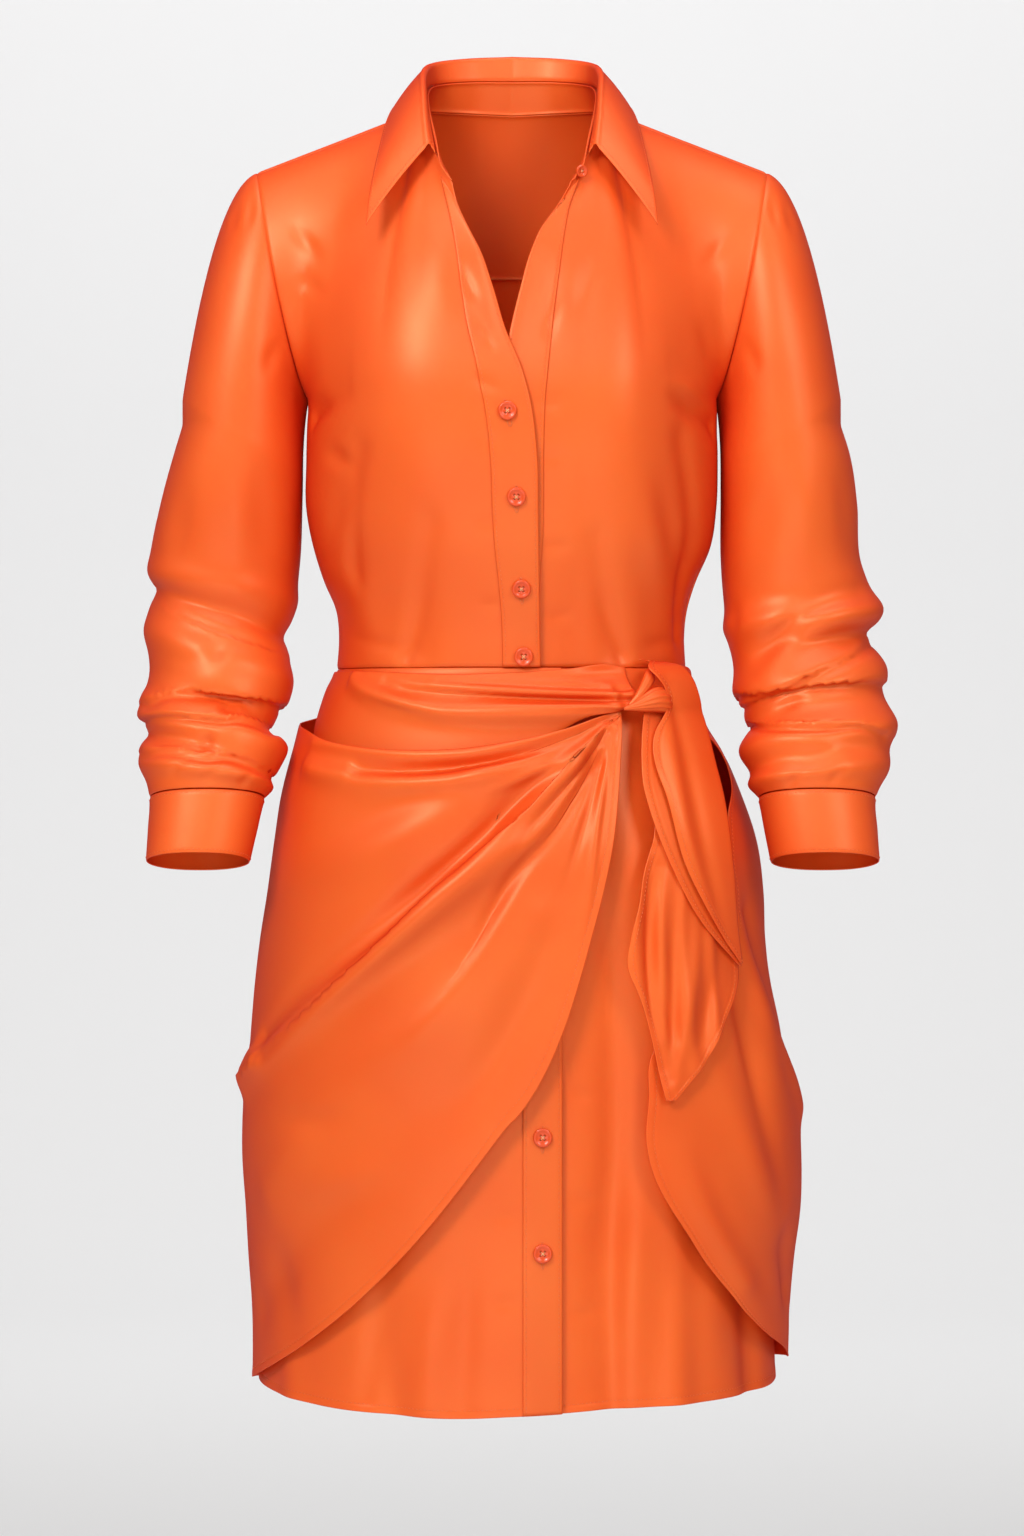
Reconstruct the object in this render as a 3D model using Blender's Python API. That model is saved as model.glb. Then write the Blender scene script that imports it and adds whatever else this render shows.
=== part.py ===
"""Satin shirt dress with a knotted sarong wrap, as it hangs when it is worn.

Millimetres inside, metres in the meshes. +X is the wearer's left, -Y the front, +Z up. The origin is the
middle of the neck at the height where the shoulders carry the dress. "right" and "left" are the wearer's.
A horizontal section is a ring: its turn is 0 degrees at the centre front, 90 at the left side and 180 at the
back.
Each cut piece is a sheet laid on a surface function, with a wall on its inner side.
"""

import bmesh
import bpy
import numpy as np
from mathutils import Vector

# ---------------------------------------------------------------- driving sizes, mm
WALL = 1.3  # thickness of one wall of cloth
BAND_WALL = 1.0  # thickness of a folded band that lies on a wall
SEAM = 0.4  # gap between two pieces where they are sewn
LAID = 0.35  # gap under a piece that lies on another
UNDERARM = -206.0  # height of the underarm point
WAIST = -400.0  # height of the waist seam
SIDE_TURN = 90.0 - np.degrees(SEAM / 2 / 140)  # where a front or back piece ends at the side seam
NECK_SHARE = 0.42  # share of a panel's width that ends in the neckline; the rest ends in the shoulder
OVERLAP = 4.4  # how far the left front lies behind the right one at the buttons
SHOULDER_TIP = (184.0, -4.0, -43.5)
ARMHOLE_OUT = (0.974, 0.0, -0.227)  # the way a sleeve leaves the body
BUTTON_ACROSS = 13.6
BUTTON_THICK = 2.4
COLLAR_BUTTON_ACROSS = 9.0
COLLAR_BUTTON_AIM = (0.45, -0.88, -0.15)  # the way the button on the stand's front end faces
BUST = dict(out=78.0, height=-202.0, forward=9.0, across=46.0, above=62.0, below=92.0)
SQUARENESS = 2.3  # of every horizontal section; 2 is an ellipse
MM_PER_TURN = 2.97  # length along a section for each degree of turn, for the widths of folds


def smoothstep(t):
    t = np.clip(t, 0, 1)
    return t * t * (3 - 2 * t)


class Table:
    """Named columns against the first one, read with a smooth curve through the rows."""

    def __init__(self, names, rows):
        values = np.array(sorted(rows), float).T
        self.columns = dict(zip(names.split(), values))
        self.key = values[0]

    def at(self, name, where):
        x, y = self.key, self.columns[name]
        slope = np.gradient(y, x)
        where = np.clip(np.asarray(where, float), x[0], x[-1])
        i = np.clip(np.searchsorted(x, where) - 1, 0, len(x) - 2)
        h = x[i + 1] - x[i]
        t = (where - x[i]) / h
        t2, t3 = t * t, t * t * t
        ends = (2 * t3 - 3 * t2 + 1) * y[i] + (3 * t2 - 2 * t3) * y[i + 1]
        return ends + ((t3 - 2 * t2 + t) * slope[i] + (t3 - t2) * slope[i + 1]) * h

    def points(self, names, where):
        return np.stack([self.at(name, where) for name in names.split()], axis=-1)


# ---------------------------------------------------------------- sections of the worn form
# Half widths to the wearer's right and left of the middle, depths to the front and back of it.
SECTION = "height right left front back"
BODICE = Table(
    SECTION,
    [
        (-170, 147, 147, 108, 102),
        (-206, 147, 147, 112, 102),
        (-250, 148, 148, 112, 100),
        (-285, 148, 147, 109, 97),
        (-312, 143, 143, 106, 93),
        (-338, 135, 132, 101, 89),
        (-358, 128, 126, 97, 86),
        (-378, 125, 124, 94, 83),
        (-400, 126, 125, 93, 82),
        (-420, 128, 127, 94, 83),
    ],
)
SKIRT = Table(
    SECTION,
    [
        (-380, 125, 124, 93, 82),
        (-400, 126, 125, 93, 82),
        (-425, 134, 133, 98, 88),
        (-470, 147, 146, 108, 102),
        (-520, 158, 158, 118, 118),
        (-590, 170, 172, 125, 129),
        (-680, 178, 181, 130, 131),
        (-780, 180, 186, 133, 131),
        (-860, 181, 188, 135, 131),
        (-930, 182, 190, 136, 132),
    ],
)
# The band at the waist, and the wrap panels, which hang a little clear of the skirt, furthest at the hips.
BAND = Table(
    SECTION,
    [
        (-392, 128.0, 127.0, 96.0, 84),
        (-402, 128.2, 127.4, 95.4, 84),
        (-415, 134, 132, 101, 88),
        (-430, 139, 138, 105, 93),
        (-450, 144.5, 143.5, 109, 98),
        (-470, 150, 149, 112, 104),
    ],
)
WRAP = Table(
    SECTION,
    [
        (-385, 131, 127, 99, 86),
        (-400, 134, 128.5, 101, 88),
        (-430, 150, 137, 110, 96),
        (-455, 157, 150, 117, 104),
        (-490, 166, 165, 124, 116),
        (-523, 171, 176, 130, 124),
        (-560, 176, 181, 134, 131),
        (-592, 181, 182, 137, 134),
        (-626, 185, 186, 140, 136),
        (-661, 188, 194, 142, 137),
        (-700, 192.5, 204, 143, 138),
        (-747, 194, 208, 145, 138),
        (-785, 191.5, 207.5, 146, 138),
        (-820, 189.5, 203, 146, 138),
        (-855, 187, 200, 146, 138),
        (-920, 186.5, 198, 146, 138),
    ],
)


def ring(form, turn, height, bust=0.0):
    """Point of a section at a turn in degrees and a height. bust is the share of the bust's fullness."""
    turn, height = np.broadcast_arrays(np.asarray(turn, float), np.asarray(height, float))
    s, c = np.sin(np.radians(turn)), np.cos(np.radians(turn))
    half = np.where(s < 0, form.at("right", height), form.at("left", height))
    depth = np.where(c > 0, form.at("front", height), form.at("back", height))
    power = 2 / SQUARENESS
    x = half * np.sign(s) * np.abs(s) ** power
    y = -depth * np.sign(c) * np.abs(c) ** power
    drop = height - BUST["height"]
    spread = np.where(drop > 0, BUST["above"], BUST["below"])
    full = np.exp(-(((np.abs(x) - BUST["out"]) / BUST["across"]) ** 2) - (drop / spread) ** 2)
    y = y - bust * BUST["forward"] * full * np.clip(c * 3, 0, 1)
    return np.stack([x, y, height], axis=-1)


def turn_at(form, x, height):
    """The turn on the front half of a section where it is x from the middle."""
    half = np.where(x < 0, form.at("right", height), form.at("left", height))
    share = np.clip(np.abs(x) / half, 0, 1) ** (SQUARENESS / 2)
    return np.degrees(np.arcsin(share)) * np.sign(x)


def moved_out(form, turn, height, distance):
    """A point of a section moved square away from the surface."""
    step = 0.5
    along = ring(form, turn + step, height) - ring(form, turn - step, height)
    up = ring(form, turn, height + step) - ring(form, turn, height - step)
    normal = np.cross(along, up)
    normal /= np.linalg.norm(normal, axis=-1, keepdims=True)
    return ring(form, turn, height) + normal * np.asarray(distance)[..., None]


# ---------------------------------------------------------------- folds
FOLD = "turn_a height_a turn_b height_b turn_c height_c rise_a rise_c width"


def folds(rows, turn, height):
    """How far folds lift the cloth. A fold runs from a over b to c, and rises by rise_a and rise_c there."""
    lift = np.zeros(np.broadcast(turn, height).shape)
    for row in rows:
        fold = dict(zip(FOLD.split(), row))
        t = np.linspace(0, 1, 13)
        weights = (1 - t) * (1 - 2 * t), 4 * t * (1 - t), t * (2 * t - 1)  # a curve through all three
        s = sum(w * fold[f"turn_{p}"] for w, p in zip(weights, "abc")) * MM_PER_TURN
        z = sum(w * fold[f"height_{p}"] for w, p in zip(weights, "abc"))
        nearest = np.full(lift.shape, np.inf)
        along = np.zeros(lift.shape)
        for i in range(len(t) - 1):
            ds, dz = s[i + 1] - s[i], z[i + 1] - z[i]
            to_s, to_z = turn * MM_PER_TURN - s[i], height - z[i]
            part = np.clip((to_s * ds + to_z * dz) / (ds * ds + dz * dz), 0, 1)
            away = np.hypot(to_s - part * ds, to_z - part * dz)
            along = np.where(away < nearest, t[i] + part * (t[1] - t[0]), along)
            nearest = np.minimum(nearest, away)
        rise = fold["rise_a"] + (fold["rise_c"] - fold["rise_a"]) * along
        lift = lift + rise * np.exp(-((nearest / fold["width"]) ** 2))
    return lift


# ---------------------------------------------------------------- making a sheet
def clear_scene():
    for thing in list(bpy.data.objects):
        bpy.data.objects.remove(thing, do_unlink=True)


def satin(name, colour, roughness):
    material = bpy.data.materials.new(name)
    material.use_nodes = True
    shader = material.node_tree.nodes["Principled BSDF"]
    shader.inputs["Base Color"].default_value = (*colour, 1.0)
    shader.inputs["Roughness"].default_value = roughness
    shader.inputs["Metallic"].default_value = 0.0
    return material


def faced(surface, across, down, facing):
    """Points of a surface on a grid and its unit normals on the outer side."""
    u, v = np.meshgrid(across, down, indexing="ij")
    step = 1e-3
    u_low, u_high = np.maximum(u - step, across[0]), np.minimum(u + step, across[-1])
    v_low, v_high = np.maximum(v - step, down[0]), np.minimum(v + step, down[-1])
    normal = np.cross(surface(u_high, v) - surface(u_low, v), surface(u, v_high) - surface(u, v_low))
    normal *= facing / np.maximum(np.linalg.norm(normal, axis=-1, keepdims=True), 1e-12)
    return surface(u, v), normal


def cloth(name, surface, across, down, facing, wall=WALL, tube=False, inner=None):
    """A closed body between a surface's grid and the same grid one wall further in, or an inner surface."""
    across, down = np.asarray(across, float), np.asarray(down, float)
    outside, normal = faced(surface, across, down, facing)
    if tube:
        ends = normal[0] + normal[-1]
        normal[0] = normal[-1] = ends / np.linalg.norm(ends, axis=-1, keepdims=True)
    inside = outside - normal * wall
    if inner:
        inside = inner(*np.meshgrid(across, down, indexing="ij"))
    sheet = bmesh.new()
    bmesh.ops.create_grid(sheet, x_segments=len(across) - 1, y_segments=len(down) - 1, size=0.5)
    column = sheet.verts.layers.int.new("column")
    row = sheet.verts.layers.int.new("row")
    for vert in sheet.verts:
        vert[column] = round((vert.co.x + 0.5) * (len(across) - 1))
        vert[row] = round((vert.co.y + 0.5) * (len(down) - 1))
    if tube:
        first = {vert[row]: vert for vert in sheet.verts if vert[column] == 0}
        last = [vert for vert in sheet.verts if vert[column] == len(across) - 1]
        bmesh.ops.weld_verts(sheet, targetmap={vert: first[vert[row]] for vert in last})
    for vert in sheet.verts:
        vert.co = outside[vert[column], vert[row]] / 1000
    bmesh.ops.triangulate(sheet, faces=sheet.faces[:], quad_method="SHORT_EDGE")
    made = bmesh.ops.extrude_face_region(sheet, geom=sheet.faces[:])
    for vert in made["geom"]:
        if isinstance(vert, bmesh.types.BMVert):
            vert.co = inside[vert[column], vert[row]] / 1000
    bmesh.ops.recalc_face_normals(sheet, faces=sheet.faces[:])
    return finished(name, sheet, CLOTH)


def finished(name, shape, material):
    mesh = bpy.data.meshes.new(name)
    shape.to_mesh(mesh)
    shape.free()
    mesh.shade_smooth()
    mesh.set_sharp_from_angle(angle=np.radians(40))
    mesh.materials.append(material)
    thing = bpy.data.objects.new(name, mesh)
    bpy.context.scene.collection.objects.link(thing)
    return thing


# ---------------------------------------------------------------- neck, shoulders and armholes
# The left half, from the front end of the neckline (0) over the neck point (0.5) to the centre back (1): the
# neckline, the top of the collar stand, the fold of the collar and its outer edge.
COLLAR = Table(
    "way neck_x neck_y neck_z stand_x stand_y stand_z roll_x roll_y roll_z edge_x edge_y edge_z",
    [
        (0.00, 43, -72, -57, 52, -67, -43, 55, -67, -37, 103, -90, -88),
        (0.17, 53, -57, -37, 56, -49, -19, 59, -48, -11, 100, -71, -58),
        (0.33, 62, -34, -15, 60, -25, 3, 61, -23, 15, 95, -39, -28),
        (0.50, 67, -6, 1, 60, 2, 18, 61, 4, 32, 89, 6, 0),
        (0.67, 59, 37, 6, 52, 37, 26, 54, 38, 42, 80, 50, 6),
        (0.83, 33, 56, 7, 30, 52, 29.5, 32, 54, 47, 47, 77, 9),
        (1.00, 0, 61, 6, 0, 56, 30, 0, 58, 49, 0, 84, 9),
    ],
)


def collar_point(line, way):
    return COLLAR.points(f"{line}_x {line}_y {line}_z", way)


def shoulder_line(share):
    """The sewn shoulder line from the neck point (0) to the tip (1)."""
    start = collar_point("neck", 0.5)
    return start + (np.array(SHOULDER_TIP) - start) * np.asarray(share)[..., None]


def top_edge(share, front):
    """Where a panel's column ends: in the neckline, then in the shoulder line."""
    way = np.clip(share / NECK_SHARE, 0, 1) * 0.5
    neck = collar_point("neck", way if front else 1 - way)
    shoulder = shoulder_line((share - NECK_SHARE) / (1 - NECK_SHARE))
    return np.where((share <= NECK_SHARE)[..., None], neck, shoulder)


# How a column of cloth rises from the underarm level to the top: the two inner points of its curve, given
# from its foot (low) and from its top (high). out is away from the middle of the body.
RISE = "share low_out low_y low_z high_out high_y high_z"
FRONT_RISE = Table(
    RISE,
    [
        (0.00, 6, 3, 50, -10, -16, -40),
        (0.14, 5, 3, 58, -6, -22, -40),
        (0.28, 4, 3, 64, -3, -30, -34),
        (0.42, 3, 2, 66, 0, -38, -17),
        (0.70, 5, -3, 64, -1, -38, -17),
        (0.86, 6, -26, 48, -2, -40, -17),
        (1.00, 13, -60, 20, -3, -46, -19),
    ],
)
BACK_RISE = Table(
    RISE,
    [
        (0.00, 0, 3, 70, 0, 14, -36),
        (0.14, 0, 3, 70, 0, 18, -30),
        (0.28, 0, 3, 70, 1, 28, -12),
        (0.42, 1, 2, 70, 0, 42, 14),
        (0.70, 3, 0, 68, 0, 44, 17),
        (0.86, 5, 26, 50, -1, 44, 17),
        (1.00, 13, 62, 22, -2, 44, 17),
    ],
)
# Inner edges of the two fronts: closed below the bust, folded open above it.
OPEN_EDGE = Table(
    "height right_front left_front",
    [
        (-56, -43, 43),
        (-74, -38, 32),
        (-90, -30.5, 20.5),
        (-106, -22.5, 13.5),
        (-134, -13, 5.5),
        (-163, -4.5, -1.5),
        (-190, 6.5, -6),
        (-212, 12.5, -8),
        (-250, 17.5, -9),
        (-300, 18.5, -8),
        (-400, 20, -5),
        (-420, 20.5, -4),
    ],
)
BACK_SEAM = -110.0  # height of the yoke's back seam
FRONT_LENGTH = 180.0  # from the underarm level to the shoulder line, in front and behind
BACK_LENGTH = 200.0
TOP_CLIMB = 1 - SEAM / 2 / FRONT_LENGTH  # panels end here, half a seam short of the top
HALF_SEAM = SEAM / 2 / BACK_LENGTH


def climbed(foot, top, handles, share, side, climb):
    """The curve of a column of cloth above the underarm, climb 0 at its foot and 1 at its top."""
    mirror = np.array([side, 1.0, 1.0])
    low = handles.points("low_out low_y low_z", share) * mirror
    high = handles.points("high_out high_y high_z", share) * mirror
    t = np.asarray(climb)[..., None]
    a, b, c, d = foot, foot + low, top * mirror + high, top * mirror
    return (1 - t) ** 3 * a + 3 * t * (1 - t) ** 2 * b + 3 * t * t * (1 - t) * c + t**3 * d


def height_of(climb):
    return UNDERARM + (UNDERARM - WAIST - SEAM / 2) * np.minimum(climb, 0)


BODICE_FOLDS = {
    -1: [
        (-74, -222, -62, -214, -50, -206, -4.0, -1.0, 7),
        (-44, -250, -47, -290, -52, -330, -2.0, -3.0, 12),
        (-20, -300, -26, -345, -34, -392, -1.5, -3.0, 10),
    ],
    1: [
        (76, -226, 62, -216, 48, -204, -3.5, -1.0, 7),
        (52, -240, 60, -300, 72, -370, -2.5, -4.0, 13),
        (22, -310, 28, -350, 36, -390, -1.5, -3.5, 10),
    ],
}


def near_middle(turn):
    """1 where the left front lies behind the right one, 0 further out."""
    return 1 - smoothstep((np.abs(turn) - 16) / 18)


def bodice_front(side):
    """A front, side -1 for the right one and 1 for the left, which lies behind the other at the buttons.

    share is 0 at its inner edge and 1 at its side. climb is -1 at the waist, 0 at the underarm, 1 at the top.
    """
    edge_name = "right_front" if side < 0 else "left_front"

    def surface(share, climb):
        height = height_of(climb)
        start = turn_at(BODICE, OPEN_EDGE.at(edge_name, height), height)
        turn = start + (side * SIDE_TURN - start) * share
        low = ring(BODICE, turn, height, bust=1.0)
        up = np.clip(climb, 0, 1)
        high = climbed(low, top_edge(share, True), FRONT_RISE, share, side, up)
        edge_low = ring(BODICE, start, height, bust=1.0)
        edge = climbed(edge_low, top_edge(0 * share, True), FRONT_RISE, 0 * share, side, up)
        pull = OPEN_EDGE.at(edge_name, edge[..., 2]) - edge[..., 0]
        high[..., 0] += pull * np.clip(1 - share / NECK_SHARE, 0, 1) ** 2
        point = np.where((climb > 0)[..., None], high, low)
        inward = -folds(BODICE_FOLDS[side], turn, height) * np.clip(1 - up * 4, 0, 1)
        if side > 0:
            inward = inward + OVERLAP * near_middle(turn) * (1 - smoothstep((climb - 0.3) / 0.4))
        point[..., 1] += inward * np.cos(np.radians(turn))
        point[..., 0] -= inward * np.sin(np.radians(turn))
        return point

    return surface


def bodice_back(share, climb):
    """The whole back. share runs from -1 at the right side over 0 at the centre back to 1 at the left."""
    side = np.where(share < 0, -1.0, 1.0)
    away = np.abs(share)
    height = height_of(climb)
    low = ring(BODICE, 180 - away * SIDE_TURN, height)
    high = climbed(low, top_edge(away, False), BACK_RISE, away, 1.0, np.clip(climb, 0, 1))
    point = np.where((climb > 0)[..., None], high, low)
    point[..., 0] *= side
    return point


def back_seam(share):
    """Climb of the seam between back and yoke, found by halving."""
    low, high = 0.0 * share, 0.0 * share + 0.8
    for _ in range(24):
        middle = (low + high) / 2
        above = bodice_back(share, middle)[..., 2] > BACK_SEAM
        low, high = np.where(above, low, middle), np.where(above, middle, high)
    return low


def below_yoke(share, part):
    """The back piece: part is -1 at the waist, 0 at the underarm and 1 at the yoke seam."""
    return bodice_back(share, np.where(part > 0, part * (back_seam(share) - HALF_SEAM), part))


def yoke(share, part):
    """The yoke: part is 0 at its back seam and 1 at the shoulder line."""
    start = back_seam(share) + HALF_SEAM
    return bodice_back(share, start + (TOP_CLIMB - start) * part)


def spot(surface, u, v, facing):
    """A point of a surface and the way out of it."""
    step = 1e-3
    along = surface(u + step, v) - surface(u - step, v)
    down = surface(u, v + step) - surface(u, v - step)
    normal = np.cross(along, down)
    normal *= facing / np.maximum(np.linalg.norm(normal, axis=-1, keepdims=True), 1e-12)
    return surface(u, v), normal


def lifted(surface, distance, facing):
    """A surface moved square off another one."""

    def moved(u, v):
        point, normal = spot(surface, u, v, facing)
        return point + normal * distance

    return moved


# Share of a front's width that its button band takes: -1 at the waist, 0 at the underarm, 1 at the neck.
PLACKET = Table("climb share", [(-1, 0.092), (-0.5, 0.095), (0, 0.1), (1, 0.13)])


def placket(side):
    """The button band on a front: across is 0 at the front's inner edge and 1 at the band's outer seam."""
    on_front = lifted(bodice_front(side), LAID + BAND_WALL, side)

    def surface(across, climb):
        return on_front(across * PLACKET.at("share", climb), climb)

    return surface


FRONT_DOWN = (-1, -0.85, -0.7, -0.55, -0.42, -0.3, -0.2, -0.1, 0, 0.12, 0.25, 0.38, 0.52, 0.66, 0.8, 0.9,
              TOP_CLIMB)
FRONT_ACROSS = (0, 0.05, 0.1, 0.18, 0.28, 0.38, 0.48, 0.58, 0.69, 0.8, 0.9, 1)
BACK_ACROSS = (-1, -0.88, -0.74, -0.6, -0.46, -0.34, -0.2, 0, 0.2, 0.34, 0.46, 0.6, 0.74, 0.88, 1)
BACK_PART = (-1, -0.8, -0.6, -0.4, -0.2, 0, 0.25, 0.5, 0.75, 1)
YOKE_PART = (0, 0.16, 0.33, 0.5, 0.66, 0.8, 0.9, 1)


def make_bodice():
    for side, name, layer in ((-1, "right", "outer"), (1, "left", "under")):
        cloth(f"bodice_front_{name}", bodice_front(side), FRONT_ACROSS, FRONT_DOWN, side)
        cloth(f"placket_{layer}", placket(side), (0, 0.5, 1), FRONT_DOWN[:-1], side, BAND_WALL)
    cloth("bodice_back", below_yoke, BACK_ACROSS, BACK_PART, -1)
    cloth("back_yoke", yoke, BACK_ACROSS, YOKE_PART, -1)


# ---------------------------------------------------------------- collar
LEAF_FOLD = 2.6  # radius of the fold at the top of the collar
STAND_END_GAP = 0.7  # how much further the stand's front ends stay off the neckline
FALL_END = 0.94  # the collar starts this share of the way along the stand, short of its button
LEAF_BELLY = 1.5  # how far the leaf bows off the straight line from fold to edge


def mirrored(points, way):
    points[..., 0] *= np.sign(way) + (way == 0)
    return points


def collar_stand(way, up):
    """way runs from -1 at the right front end over 0 at the centre back to 1, and up from the neckline."""
    low, high = (collar_point(line, 1 - np.abs(way)) for line in ("neck", "stand"))
    height = np.linalg.norm(high - low, axis=-1)
    gap = SEAM + STAND_END_GAP * np.abs(way) ** 4
    share = (gap + (height - gap - SEAM / 2) * up) / height
    return mirrored(low + (high - low) * share[..., None], way)


def collar_fall(way, out):
    """out runs from 0 at the top of the stand over the fold to 1 at the collar's outer edge."""
    base, roll = (collar_point(line, 1 - np.abs(way)) for line in ("stand", "roll"))
    edge = collar_point("edge", 1 - np.abs(way) / FALL_END)
    away = edge - roll
    away[..., 2] = 0
    away /= np.linalg.norm(away, axis=-1, keepdims=True)
    up = np.array([0.0, 0.0, 1.0])
    middle = roll + away * LEAF_FOLD - up * LEAF_FOLD
    rise_end = middle - away * LEAF_FOLD
    start = base + (rise_end - base) * (SEAM / np.linalg.norm(rise_end - base, axis=-1))[..., None]
    fold_from, fold_to = 0.2, 0.36
    out = np.asarray(out)[..., None]
    rising = start + (rise_end - start) * np.clip(out / fold_from, 0, 1)
    half_turn = np.pi * np.clip((out - fold_from) / (fold_to - fold_from), 0, 1)
    folding = middle - away * LEAF_FOLD * np.cos(half_turn) + up * LEAF_FOLD * np.sin(half_turn)
    fall = np.clip((out - fold_to) / (1 - fold_to), 0, 1)
    top = middle + away * LEAF_FOLD
    bow = (away * 0.5 + up * 0.8) * LEAF_BELLY * 4 * fall * (1 - fall)
    falling = top + (edge - top) * fall + bow
    point = np.where(out < fold_from, rising, np.where(out < fold_to, folding, falling))
    return mirrored(point, way)


def make_collar():
    way = np.concatenate([[-1, -FALL_END], np.linspace(-0.84, 0.84, 21), [FALL_END, 1]])
    cloth("collar_stand", collar_stand, way, (0, 0.5, 1), -1)
    out = (0, 0.2, 0.24, 0.28, 0.32, 0.36, 0.5, 0.68, 0.85, 1)
    cloth("collar_fall", collar_fall, way[1:-1], out, 1)


# ---------------------------------------------------------------- sleeves and cuffs
# Sections of the sleeves. out and across are the middle and half width of a section, y and deep the same
# from front to back. nod is how much higher its front is than its back.
SLEEVE = Table(
    "height right_out right_across left_out left_across y deep nod",
    [
        (-225, 194, 43, 193.5, 43, 0, 58, 0),
        (-243, 196.5, 46, 196.3, 46, 0, 58, 0),
        (-281, 202, 51, 199.5, 49.2, 2, 58, 0),
        (-320, 206.5, 54, 200.6, 50.2, 4, 56, 0),
        (-350, 208, 52, 206, 53.5, 3, 53, 1),
        (-376, 210, 50, 207, 51, -3, 50, 2),
        (-410, 211.5, 49.5, 213.5, 52, -15, 49, 4),
        (-440, 216, 48.5, 219.5, 51, -28, 47, 6),
        (-471, 214, 48, 218, 50, -45, 45, 7),
        (-492, 216.2, 41.2, 216.5, 42, -57, 37, 7),
        (-516, 219.4, 38.6, 219, 40, -64, 35, 7),
        (-537, 222.2, 36.8, 221.5, 38.6, -70, 33, 7),
    ],
)
BICEP = dict(height=-234.0, tilt=28.0)  # where the cap ends, tilt higher outside and lower inside
CUFF_TOP = -492.0
CUFF_END = -537.0
# How the cloth leaves the armhole and comes to the bicep: way 0 is at the underarm, 1 at the shoulder tip.
CAP = Table(
    "way leave_out leave_y leave_z come_out come_y come_z",
    [
        (0.0, 3, 0, -12, 0, 0, 20),
        (0.5, 14, -12, -22, -4, 2, 40),
        (1.0, 24, 0, -7, -13, 0, 84),
        (1.5, 14, 14, -22, -4, -2, 40),
        (2.0, 3, 0, -12, 0, 0, 20),
    ],
)
# Folds round the sleeves, from the outer side to the inner one: their heights and rises there, and half
# their width.
ROLL = "out_height in_height out_rise in_rise width"
ROLLS = {
    -1: [
        (-329, -352, 2.0, 2.0, 10),
        (-342, -377, -5.0, -5.0, 8),
        (-372, -410, 5.0, 5.0, 14),
        (-402, -442, -0.5, -6.5, 8),
        (-429, -455, 3.0, 6.5, 11),
        (-447, -476, -5.5, -3.0, 7),
        (-468, -489, 3.5, 6.5, 9),
    ],
    1: [
        (-357, -372, 7.5, 3.5, 11),
        (-375, -393, -5.5, 0.0, 8),
        (-398, -415, 6.0, 2.0, 12),
        (-418, -440, -1.5, -2.0, 8),
        (-440, -458, 5.0, 6.0, 11),
        (-458, -474, -1.5, -2.0, 7),
        (-473, -487, 1.0, 6.0, 9),
    ],
}
# Rows of a sleeve: 0 at the armhole, 1 at the bicep, 2 at the cuff.
SLEEVE_DOWN = (0, 0.08, 0.2, 0.38, 0.58, 0.8, 1, 1.15, 1.27, 1.36, 1.44, 1.5, 1.55, 1.6, 1.645, 1.69, 1.735,
               1.78, 1.825, 1.87, 1.91, 1.95, 2)


def armhole(side, way):
    """The edge of the body's armhole: way 0 at the underarm, 0.5 in front, 1 at the tip, 1.5 behind."""
    front = bodice_front(side)(np.ones_like(way), np.clip(way, 1e-6, TOP_CLIMB))
    back = bodice_back(side * np.ones_like(way), np.clip(2 - way, 1e-6, TOP_CLIMB))
    return np.where((way <= 1)[..., None], front, back)


def tube(side, way, height, swell=0.0):
    name = "right" if side < 0 else "left"
    angle = np.pi * way
    across = SLEEVE.at(f"{name}_across", height) + swell
    deep = SLEEVE.at("deep", height) + swell
    power = 2 / SQUARENESS
    cos, sin = -np.cos(angle), np.sin(angle)
    x = SLEEVE.at(f"{name}_out", height) + across * np.sign(cos) * np.abs(cos) ** power
    y = SLEEVE.at("y", height) - deep * np.sign(sin) * np.abs(sin) ** power
    z = height + SLEEVE.at("nod", height) * sin
    return np.stack([side * x, y, z], axis=-1)


def sleeve(side):
    def surface(way, down):
        outward = np.array([side * ARMHOLE_OUT[0], ARMHOLE_OUT[1], ARMHOLE_OUT[2]])
        mirror = np.array([side, 1.0, 1.0])
        start = armhole(side, way) + outward * SEAM
        end_height = BICEP["height"] - BICEP["tilt"] * np.cos(np.pi * way)
        end = tube(side, way, end_height)
        t = np.clip(down, 0, 1)[..., None]
        leave = start + CAP.points("leave_out leave_y leave_z", way) * mirror
        come = end + CAP.points("come_out come_y come_z", way) * mirror
        cap = (1 - t) ** 3 * start + 3 * t * (1 - t) ** 2 * leave + 3 * t * t * (1 - t) * come + t**3 * end
        fall = np.clip(down - 1, 0, 1)
        height = end_height + (CUFF_TOP + SEAM - end_height) * fall
        swell = np.zeros(np.broadcast(way, down).shape)
        inner = (1 + np.cos(np.pi * way)) / 2
        for row in ROLLS[side]:
            roll = dict(zip(ROLL.split(), row))
            middle = roll["out_height"] + (roll["in_height"] - roll["out_height"]) * inner
            rise = roll["out_rise"] + (roll["in_rise"] - roll["out_rise"]) * inner
            swell = swell + rise * np.exp(-(((height - middle) / roll["width"]) ** 2))
        swell = swell * smoothstep((1 - fall) / 0.05)
        return np.where((down > 1)[..., None], tube(side, way, height, swell), cap)

    return surface


def cuff(side):
    def surface(way, down):
        return tube(side, way, CUFF_TOP - SEAM + (CUFF_END - CUFF_TOP + SEAM) * down, 0.0)

    return surface


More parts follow.
